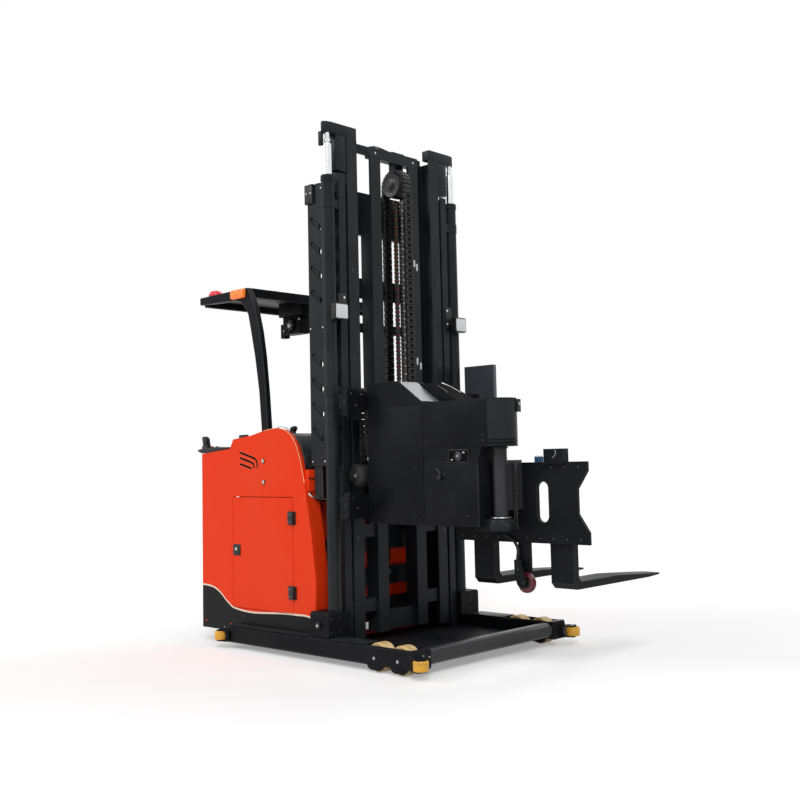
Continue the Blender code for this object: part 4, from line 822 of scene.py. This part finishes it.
# operator's place: bulkhead with the console, steering wheel, stick, display, pad and ribbed mat
low, high = cad("control_console")
parts = [block((high.x - 0.015, high.x), (low.y, high.y), (low.z, 1.3007), 0.002),
         plate([(-0.8875, 0.982), (-1.01, 1.03), (-1.028, 1.168), (-1.016, 1.186), (-0.8875, 1.208)], "XZ",
               -0.398, 0.398, 0.01, 4, look=1),
         panel("XY", 0.045, 0.26, 0.012, 4, (-0.965, 0.02), 1.19, 1.1975, 0.002, 2),
         block((-0.962, -0.942), (0.06, 0.2), (1.196, 1.25), 0.004, look=1),
         block((-0.9645, -0.961), (0.07, 0.19), (1.203, 1.244), 0.001, look=3)]
wheelAt = Vector((-0.99, -0.2, 1.249))
ring = [(0.0775 + 0.0075 * math.cos(math.tau * k / 12), 0.0068 * math.sin(math.tau * k / 12))
        for k in range(12)]
parts.append(turned(ring, wheelAt, "Z", 56, 2))
parts += [plate(ribbon(((0, 0), (0.076 * math.cos(math.radians(a)), 0.076 * math.sin(math.radians(a)))),
                       0.009), "XY", -0.003, 0.003, 0.0015, look=4) for a in (90, 210, 330)]
for spoke in parts[-3:]:
    bmesh.ops.translate(spoke, vec=wheelAt, verts=spoke.verts)
parts += [rod(wheelAt - Vector((0, 0, 0.085)), wheelAt + Vector((0, 0, 0.0055)), 0.0165, 32, 0.02, 0.002,
              2),
          rod(wheelAt + Vector((0.055, 0.055, -0.004)), wheelAt + Vector((0.055, 0.055, 0.006)), 0.006, 20,
              bevel=0.001, look=2),
          turned([(0.0001, 1.18), (0.03, 1.18), (0.026, 1.192), (0.018, 1.198), (0.02, 1.204),
                  (0.012, 1.212), (0.007, 1.218), (0.0065, 1.262), (0.012, 1.268), (0.015, 1.284),
                  (0.012, 1.302), (0.0001, 1.309)], (-0.99, 0.2, 0), "Z", 36, 2)]
parts += [peg("Z", (x, y), 1.188, 1.205, 0.008, 20, look, 0.002)
          for x, y, look in ((-0.935, -0.05, 5), (-0.935, -0.02, 4), (-0.935, 0.26, 6))]
parts += [bolt((high.x - 0.015, y, z), (-1, 0, 0), 0.007, 4) for y in (-0.55, 0.55)
          for z in (0.35, 0.8, 1.22)]
parts.append(panel("YZ", 0.62, 0.22, 0.03, 5, (0, 0.6), -0.9035, -0.894, 0.004, 2))
piece("operatorConsole", parts, (black, mouldedBlack, hoodPlastic, screenGlass, zinc, redMark, warmGlow),
      "chassis", ("control_console",))
mat = [block((-1.245, -0.905), (-0.575, 0.575), (0.2101, 0.214), 0.001)]
mat += [block((-1.24, -0.91), (y - 0.006, y + 0.006), (0.2135, 0.2165), 0.0012, 1)
        for y in [0.03 * k for k in range(-18, 19)]]
mat += [block((-1.238, -1.205), (y - 0.05, y + 0.05), (0.216, 0.2235), 0.003, look=1) for y in (-0.3, 0.3)]
piece("operatorMat", mat, (ribbedMat, greySheet), "chassis")
print("body fittings made")

# side-shift head: panel edges, screws, recess with its gear, latch, arm end, lug ring, hump bars
headFace = {"y": -0.45,
            "screws": ((1.04, 1.288), (1.039, 1.258), (0.625, 1.27), (0.594, 1.237), (0.535, 1.386),
                       (0.533, 1.115), (0.759, 1.077), (0.919, 1.076), (0.758, 0.851), (0.918, 0.854),
                       (0.342, 0.846), (0.539, 0.85), (0.2, 1.5), (0.2, 0.85))}
near = headFace["y"]
parts = [block((0.6085, 1.07), (near - 0.003, near + 0.001), (1.227, 1.4835), 0.0022),
         block((0.6085, 0.9985), (near - 0.002, near + 0.001), (0.81, 1.154), 0.0016),
         block((0.17, 0.6015), (near - 0.0012, near + 0.001), (0.808, 1.47), 0.001)]
parts += [peg("Y", (x, z), near + 0.001, near - 0.0045, 0.0045, 16, 8, 0.0008)
          for x, z in headFace["screws"]]
recess, gear = (0.8645, 1.1775), (0.866, 1.1775)
# recess rim in the lighter edge paint as painted highlight, its inside in the shadow-dark paint
parts += [panel("XZ", 0.149, 0.075, 0.012, 4, recess, near - 0.0045, near - 0.0015, 0.001, 2),
          panel("XZ", 0.137, 0.063, 0.009, 4, recess, near - 0.0052, near - 0.0035, look=3),
          peg("Y", gear, near - 0.0035, near - 0.01, 0.0235, 32, 8, 0.001),
          peg("Y", gear, near - 0.009, near - 0.0135, 0.007, 20, 4, 0.001)]
teeth, gearCentre = 18, Matrix.Translation((gear[0], near - 0.0068, gear[1]))
for k in range(teeth):
    turn = gearCentre @ Matrix.Rotation(math.tau * k / teeth, 4, "Y")
    parts.append(block((0.0225, 0.0285), (-0.003, 0.003), (-0.0024, 0.0024), 0.0006, 1, turn, look=8))
parts += [block((0.896, 0.914), (near - 0.0095, near - 0.004), (1.192, 1.2), 0.002, look=4),
          block((0.812, 0.828), (near - 0.0085, near - 0.004), (1.154, 1.162), 0.002, look=4),
          plate(ribbon(((0.7, 1.11), (0.714, 1.101), (0.73, 1.081)), 0.0055), "XZ", near - 0.006,
                near - 0.001, 0.001, look=8),
          peg("Y", (0.728, 1.062), near - 0.001, near - 0.018, 0.0125, 28, 6, 0.002),
          # thin bright line on the wall's edge: painted highlight
          block((0.9955, 1.0005), (near - 0.0032, near - 0.0005), (0.8, 1.134), 0.001, look=2),
          collar(0.097, 0.1008, 1.264, 1.481, 0.002, kingpin, steps=72, look=7)]
parts += [collar(0.095, 0.1018, z, z + 0.009, 0.002, kingpin, steps=72, look=7) for z in (1.2275, 1.248)]
parts += [block((1.164, 1.178), (-0.32, -0.288), (1.408, 1.478), 0.003, look=6),
          peg("X", (-0.304, 1.452), 1.176, 1.1815, 0.0085, 20, 4, 0.001),
          turned([(0.064, 0.7745), (0.0715, 0.7765), (0.072, 0.79), (0.0715, 0.832), (0.069, 0.8355),
                  (0.064, 0.836)], kingpin, steps=72, look=7),
          turned([(0.0402, 0.8395), (0.056, 0.8395), (0.0575, 0.842), (0.056, 0.846), (0.0425, 0.8475),
                  (0.042, 0.844)], kingpin, steps=56, look=4)]
parts += [rod((kingpin[0] + 0.0702 * math.cos(a), kingpin[1] + 0.07 * math.sin(a), 0.806),
              (kingpin[0] + 0.076 * math.cos(a), kingpin[1] + 0.076 * math.sin(a), 0.806), 0.0085, 18,
              bevel=0.0012, look=8) for a in (math.radians(-32), math.radians(-100))]
parts += [collar(0.0402, 0.046, 1.2125, 1.2235, 0.001, kingpin, look=7),
          peg("Z", kingpin[:2], 0.7705, 0.761, 0.022, 6, 6, 0.001),
          hose([(0.505, -0.166, 1.613), (0.536, -0.15, 1.597), (0.587, -0.142, 1.571),
                (0.627, -0.136, 1.549)], 0.0042, look=4),
          hose([(0.552, -0.25, 1.589), (0.6, -0.262, 1.565), (0.645, -0.27, 1.541)], 0.005, look=8),
          block((0.33, 0.78), (-0.2495, -0.2475), (1.302, 1.48))]
piece("headFittings", parts,
      (black, zinc, blackHighlightEdge, ventDark, castSteel, silverSheet, mouldedBlack, mastBlack, blackBolt),
      "head")

# hoses and plugs from the carriage to the head, clipped on the head's rear face
parts = []
for y, z, radius in ((-0.43, 1.43, 0.011), (-0.402, 1.445, 0.011), (-0.372, 1.452, 0.009)):
    parts.append(hose([(0.156, y, z - 0.42), (0.1575, y, z - 0.3), (0.1575, y, z - 0.06),
                       (0.166, y + 0.004, z + 0.02), (0.215, y + 0.012, 1.6), (0.29, y + 0.03, 1.615)],
                      radius * 0.4, sides=12))
parts.append(block((0.156, 0.1605), (-0.447, -0.352), (1.18, 1.21), 0.001, look=1))
piece("headHoses", parts, (hoseRubber, mouldedBlack), "head")

# traverse frame: end brackets with their holes, rack ribs, bright strip; motor cluster
parts = []
for side in (-1, 1):
    for z0, z1 in ((1.425, 1.59), (0.84, 0.98)):
        middle = (z0 + z1) / 2
        parts += [peg("X", (side * 0.58, z1 - 0.03), 0.1545, 0.1565, 0.0105, 24, 1),
                  peg("X", (side * 0.58, z1 - 0.03), 0.1545, 0.159, 0.006, 6, 2),
                  peg("X", (side * 0.54, middle - 0.018), 0.1545, 0.1575, 0.006, 16, 2, 0.0006),
                  bolt((0.135, side * 0.61, middle), (0, side, 0), 0.011, 3)]
    parts.append(block((0.1, 0.145), (side * 0.5, side * 0.514), (0.9551, 0.959), 0.001, look=2))
rack = {"start": -0.509, "pitch": 0.0232, "ribs": 44}
for k in range(rack["ribs"]):
    y = rack["start"] + k * rack["pitch"]
    parts.append(block((0.14, 0.1452), (y, y + 0.0085), (1.482, 1.531), look=4 if k % 2 else 1))
for y in (-0.215, -0.115, 0.115, 0.215):
    parts += [bolt((0.086, y, z), (1, 0, 0), 0.0095, 3) for z in (1.02, 1.2, 1.38)]
parts += [peg("Y", (0.02, z), side * 0.112, side * 0.0935, 0.024, 28, 5, 0.002) for side in (-1, 1)
          for z in (0.92, 1.47)]
piece("traverseFittings", parts, (black, ventDark, castSteel, blackBolt, greaseSteel, castSteel),
      "lift_carriage")
motor = (0.085, 1.076)
carrier = {"foot": 1.145, "high": 0.035, "pitch": 0.0385, "links": 12}
parts = [peg("Y", motor, -0.4805, -0.36, 0.06, 40, 0, 0.008)]
parts += [collar(0.059, 0.066, 0.0, 0.006, 0.001, (motor[0], y, motor[1]), "Y", look=5)
          for y in (-0.464, -0.448, -0.432, -0.416, -0.4)]
parts.append(block((0.05, 0.066), (-0.47, -0.415), (1.128, 1.148), 0.004, look=5))
parts += [block((0.046, 0.062), (-0.412, -0.356), (z, z + carrier["high"]), 0.004)
          for z in [carrier["foot"] + carrier["pitch"] * k for k in range(carrier["links"])]]
parts += [block((0.03, 0.128), (-0.379, -0.236), (1.012, 1.128), 0.003, look=1),
          block((0.045, 0.11), (-0.372, -0.3), (1.129, 1.163), 0.004, look=1),
          peg("Z", (0.06, -0.35), 1.16, 1.188, 0.012, 24, 2, 0.002),
          peg("Z", (0.095, -0.32), 1.16, 1.182, 0.01, 6, 3, 0.001),
          peg("X", (-0.3, 1.105), 0.128, 0.137, 0.012, 24, 2, 0.002),
          peg("X", (-0.265, 1.05), 0.128, 0.136, 0.01, 6, 3, 0.001),
          peg("Y", motor, -0.48, -0.4845, 0.022, 28, 5, 0.002),
          peg("Y", motor, -0.484, -0.487, 0.009, 6, 3),
          hose([(0.112, -0.395, 1.105), (0.128, -0.405, 1.12), (0.13, -0.43, 1.09), (0.128, -0.448, 1.045)],
               0.0045, look=2),
          *[hose(run, 0.009, look=4)
            for run in ([(0.06, -0.355, 1.185), (0.058, -0.362, 1.24), (0.05, -0.38, 1.32),
                         (0.04, -0.39, 1.4)],
                        [(0.04, -0.33, 1.165), (0.036, -0.345, 1.24), (0.03, -0.36, 1.32),
                         (0.028, -0.37, 1.4)],
                        [(0.095, -0.312, 1.18), (0.06, -0.31, 1.24), (0.04, -0.325, 1.32),
                         (0.03, -0.34, 1.4)])],
          block((0.016, 0.052), (-0.404, -0.326), (1.385, 1.412), 0.003, look=1)]
piece("motorCluster", parts, (mouldedBlack, black, castSteel, zinc, hoseRubber, tubeBlack), "lift_carriage",
      ("traverse_motor",))

# fork carriage: bolt rows, slot rims, hook on its block, plugs, hoses and the support wheel's bracket
parts = []
for side in (-1, 1):
    for offset in (0.058, 0.144, 0.23, 0.316, 0.402):
        parts += [peg("Y", (kingpin[0] + side * offset, z), forkFace, forkFace - 0.0024, 0.0062, 16, 1,
                      0.001) for z in (0.726, 1.106)]
    # rings round the slots in the lighter edge paint: painted highlight on the rims
    ring = rounded(0.08, 0.226, 0.0395, 6, (kingpin[0] + side * 0.168, 0.921))
    parts.append(hose([(x, -0.2005, z) for x, z in ring + ring[:1]], 0.0032, look=2, sides=8, smooth=2))
hook = kingpin[0] + 0.255
parts += [block((hook - 0.056, hook + 0.04), (-0.2065, -0.179), (1.1352, 1.198), 0.005, 3, look=3),
          block((hook + 0.02, hook + 0.058), (-0.2045, -0.18), (1.1352, 1.185), 0.004, look=3),
          plate([(hook - 0.045, 1.15), (hook - 0.01, 1.142), (hook + 0.034, 1.176), (hook + 0.026, 1.192),
                 (hook - 0.036, 1.19)], "XZ", -0.213, -0.206, 0.002, look=3),
          hose([(hook - 0.02, -0.215, 1.15), (hook + 0.012, -0.22, 1.168), (hook + 0.02, -0.22, 1.19),
                (hook + 0.004, -0.215, 1.2)], 0.0028, look=4),
          peg("Y", (hook - 0.028, 1.172), -0.2125, -0.219, 0.0095, 24, 4, 0.001),
          peg("Y", (hook + 0.042, 1.16), -0.204, -0.208, 0.006, 6, 1)]
for x in (1.188, 1.206, 1.224):
    parts += [block((x, x + 0.0145), (-0.199, -0.183), (1.1352, 1.164), 0.002, look=5),
              peg("Z", (x + 0.0072, -0.191), 1.162, 1.17, 0.0045, 16, 4, 0.001)]
for x, y in ((1.1118, -0.284), (1.1178, -0.272), (1.1232, -0.284)):
    parts += [hose([(1.106, y + 0.012, 1.135), (x, y, 1.112), (x, y, 1.0), (x + 0.0006, y, 0.9),
                    (x, y, 0.8), (1.108, y + 0.02, 0.782)], 0.0046, look=6, sides=12, smooth=4),
              peg("Z", (x, y), 1.118, 1.098, 0.0058, 6, 1)]
parts += [block((1.1055, 1.127), (-0.291, -0.266), (z, z + 0.012), 0.002, look=3)
          for z in (1.06, 0.955, 0.86)]
parts += [hose([(0.965, -0.204, 0.74), (1.02, -0.21, 0.722), (1.068, -0.215, 0.672), (1.066, -0.215, 0.59),
                (1.088, -0.212, 0.545)], 0.0085, look=6, sides=12),
          plate([(1.062, 0.61), (1.108, 0.596), (1.128, 0.54), (1.143, 0.5), (1.136, 0.47), (1.11, 0.458),
                 (1.08, 0.474), (1.064, 0.52)], "XZ", -0.2445, -0.2385, 0.0018),
          block((1.064, 1.106), (-0.244, -0.1985), (0.588, 0.61), 0.002),
          peg("Y", (1.125, 0.487), -0.244, -0.249, 0.0105, 6, 2, 0.001),
          peg("Y", (1.092, 0.56), -0.244, -0.248, 0.0065, 6, 1)]
piece("forkCarriageFittings", parts,
      (black, blackBolt, blackHighlightEdge, mouldedBlack, castSteel, bluePlug, hoseRubber), "fork_carriage")
print("head and fork fittings made")

# base: pin heads, wheel guards, bolts of brackets and mast feet, lighter strips on the beam tops as painted
# highlight, skirt and a plate edge with a painted highlight line
footPin = (-0.04, 0.215)
parts = []
for side in (-1, 1):
    outer = side * beamFace
    for x in (0.42, 0.6):
        parts += [peg("Y", (x, 0.08), outer - side * 0.001, outer + side * 0.0035, 0.015, 28, 1, 0.0015),
                  peg("Y", (x, 0.08), outer + side * 0.003, outer + side * 0.0055, 0.008, 6, 3)]
        for y0, y1 in ((0.688, 0.675), (0.574, 0.562)):
            parts.append(plate([(x - 0.066, 0.044), (x + 0.066, 0.044), (x + 0.052, 0.022),
                                (x + 0.03, 0.013), (x - 0.03, 0.013), (x - 0.052, 0.022)], "XZ", side * y0,
                               side * y1, 0.002))
    parts += [bolt((x, outer, z), (0, side, 0), 0.0085, 1)
              for x, z in ((0.7, 0.112), (0.7, 0.07), (-0.86, 0.112))]
    # lighter strips on the beam tops: painted highlight
    parts += [block((x0, x1), (side * 0.5585, side * 0.6895), (0.1449, 0.1462), 0.0006, look=2)
              for x0, x1 in ((-0.885, -0.14), (0.055, 0.33), (0.69, 0.722))]
    parts += [peg("Y", footPin, outer, outer + side * 0.0045, 0.02, 28, 1, 0.0015),
              peg("Y", footPin, outer + side * 0.004, outer + side * 0.0075, 0.0085, 6, 3)]
    parts += [bolt((0.0405, side * y, z), (1, 0, 0), 0.009, 1) for y in (0.59, 0.66)
              for z in (0.175, 0.255)]
    for x in (-0.95, 0.777):
        parts += [bolt((x + 0.022 * way, side * 0.655, 0.1215), (0, 0, 1), 0.0065, 3) for way in (-1, 1)]
# orange skirt strip; the second, thin lighter strip on the plate edge is a painted highlight
parts += [block((-0.2495, -0.236), (-0.56, 0.56), (0.0722, 0.1), 0.001, look=4),
          block((0.615, 0.6215), (-0.555, 0.555), (0.0721, 0.0735), 0.0005, look=2)]
piece("baseFittings", parts, (black, blackBolt, blackHighlightEdge, zinc, orange), "chassis")
print("base fittings made")

# fan with its housing under the roof, and a grey plate on part of the roof's underside as painted light
fan = (-0.99, 2.12)
parts = [block((-1.11, -0.86), (-0.06, 0.062), (2.185, 2.284), 0.006),
         block((-1.08, -0.9), (-0.048, 0.05), (2.06, 2.186), 0.008, 3),
         peg("Y", fan, -0.048, -0.062, 0.048, 40, 1, 0.003),
         peg("Y", fan, -0.061, -0.068, 0.017, 28, 2, 0.002),
         block((-1.125, -1.078), (-0.03, 0.02), (2.04, 2.14), 0.005),
         peg("Y", (-0.89, 2.155), -0.055, -0.064, 0.008, 6, 2),
         peg("Y", (-1.06, 2.085), -0.048, -0.056, 0.006, 16, 2)]
blades, fanCentre = 7, Matrix.Translation((fan[0], -0.0635, fan[1]))
for k in range(blades):
    turn = fanCentre @ Matrix.Rotation(math.tau * k / blades, 4, "Y")
    parts.append(block((0.015, 0.043), (-0.0012, 0.0012), (-0.009, 0.009), 0.001, 1, turn, look=3))
# grey plate on the lit part of the roof's underside: painted light
parts.append(block((-1.278, -1.01), (-0.5, 0.1), (2.283, 2.2862), 0.001, look=4))
piece("roofFan", parts, (black, ventDark, castSteel, blackBolt, roofLitGrey), "chassis")
print("roof fittings made")

# floor, light and camera
bpy.ops.mesh.primitive_plane_add(size=400)
floor = bpy.context.object
floor.name = "studioFloor"
groundMaterial, groundTree, groundShader, groundPlace = startMaterial("paleFloor", 0.9, specular=0.0)
feed(groundTree, groundShader, "Base Color",
     mixed(groundTree, noise(groundTree, groundPlace, 1.2, 4.0), (0.78, 0.78, 0.78), (0.8, 0.8, 0.8)))
groundShader.inputs["Emission Color"].default_value = (1, 1, 1, 1)
groundRays = groundTree.nodes.new("ShaderNodeLightPath")
seenRays = reckon(groundTree, "MAXIMUM", groundRays.outputs["Is Camera Ray"],
    groundRays.outputs["Is Glossy Ray"])
feed(groundTree, groundShader, "Emission Strength", reckon(groundTree, "MULTIPLY", seenRays, 0.3))
floor.data.materials.append(groundMaterial)

world = bpy.data.worlds.new("studio")
world.use_nodes = True
bpy.context.scene.world = world
skyTree = world.node_tree
skyBack = skyTree.nodes["Background"]
raySort = skyTree.nodes.new("ShaderNodeLightPath")
seen = reckon(skyTree, "MAXIMUM",
              reckon(skyTree, "MAXIMUM", raySort.outputs["Is Camera Ray"],
                     raySort.outputs["Is Glossy Ray"]), raySort.outputs["Is Transmission Ray"])
studio = {"fill": 0.46, "key": 1.25, "side": 0.75, "back": 0.45, "soft": 24.0}
skyTree.links.new(spread(skyTree, seen, studio["fill"], 1.0), skyBack.inputs["Strength"])
skyBack.inputs["Color"].default_value = (1, 1, 1, 1)


def softSun(name, spot, strength):
    light = bpy.data.lights.new(name, "SUN")
    light.energy = strength
    light.angle = math.radians(studio["soft"])
    holder = bpy.data.objects.new(name, light)
    holder.location = spot
    holder.rotation_euler = (-Vector(spot)).to_track_quat("-Z", "Y").to_euler()
    bpy.context.scene.collection.objects.link(holder)


softSun("keyLamp", (4.0, -4.0, 5.5), studio["key"])
softSun("sideLamp", (-4.0, -5.0, 3.5), studio["side"])
softSun("backLamp", (1.5, 5.0, 5.0), studio["back"])

view = {"lens": 47.943, "spot": (4.6683 + mastFace, -4.90373, 1.16431), "yaw": 43.3007, "pitch": -4.9224,
        "roll": -1.3142, "centre": (404.359, 368.012), "width": 800}
yaw, pitch, roll = (math.radians(view[key]) for key in ("yaw", "pitch", "roll"))
ahead = Vector((-math.sin(yaw) * math.cos(pitch), math.cos(yaw) * math.cos(pitch), -math.sin(pitch)))
right = Vector((math.cos(yaw), math.sin(yaw), 0))
above = right.cross(ahead)
rolledRight = right * math.cos(roll) + above * math.sin(roll)
rolledUp = above * math.cos(roll) - right * math.sin(roll)
cameraData = bpy.data.cameras.new("photoCamera")
cameraData.lens = view["lens"]
cameraData.sensor_width = 36.0
cameraData.sensor_fit = "HORIZONTAL"
cameraData.shift_x = -(view["centre"][0] - view["width"] / 2) / view["width"]
cameraData.shift_y = (view["centre"][1] - view["width"] / 2) / view["width"]
camera = bpy.data.objects.new("photoCamera", cameraData)
pose = Matrix((rolledRight, rolledUp, -ahead)).transposed().to_4x4()
pose.translation = Vector(view["spot"])
camera.matrix_world = pose
bpy.context.scene.collection.objects.link(camera)
bpy.context.scene.camera = camera
bpy.context.scene.view_settings.view_transform = "Standard"
print("floor, lamps and camera set")
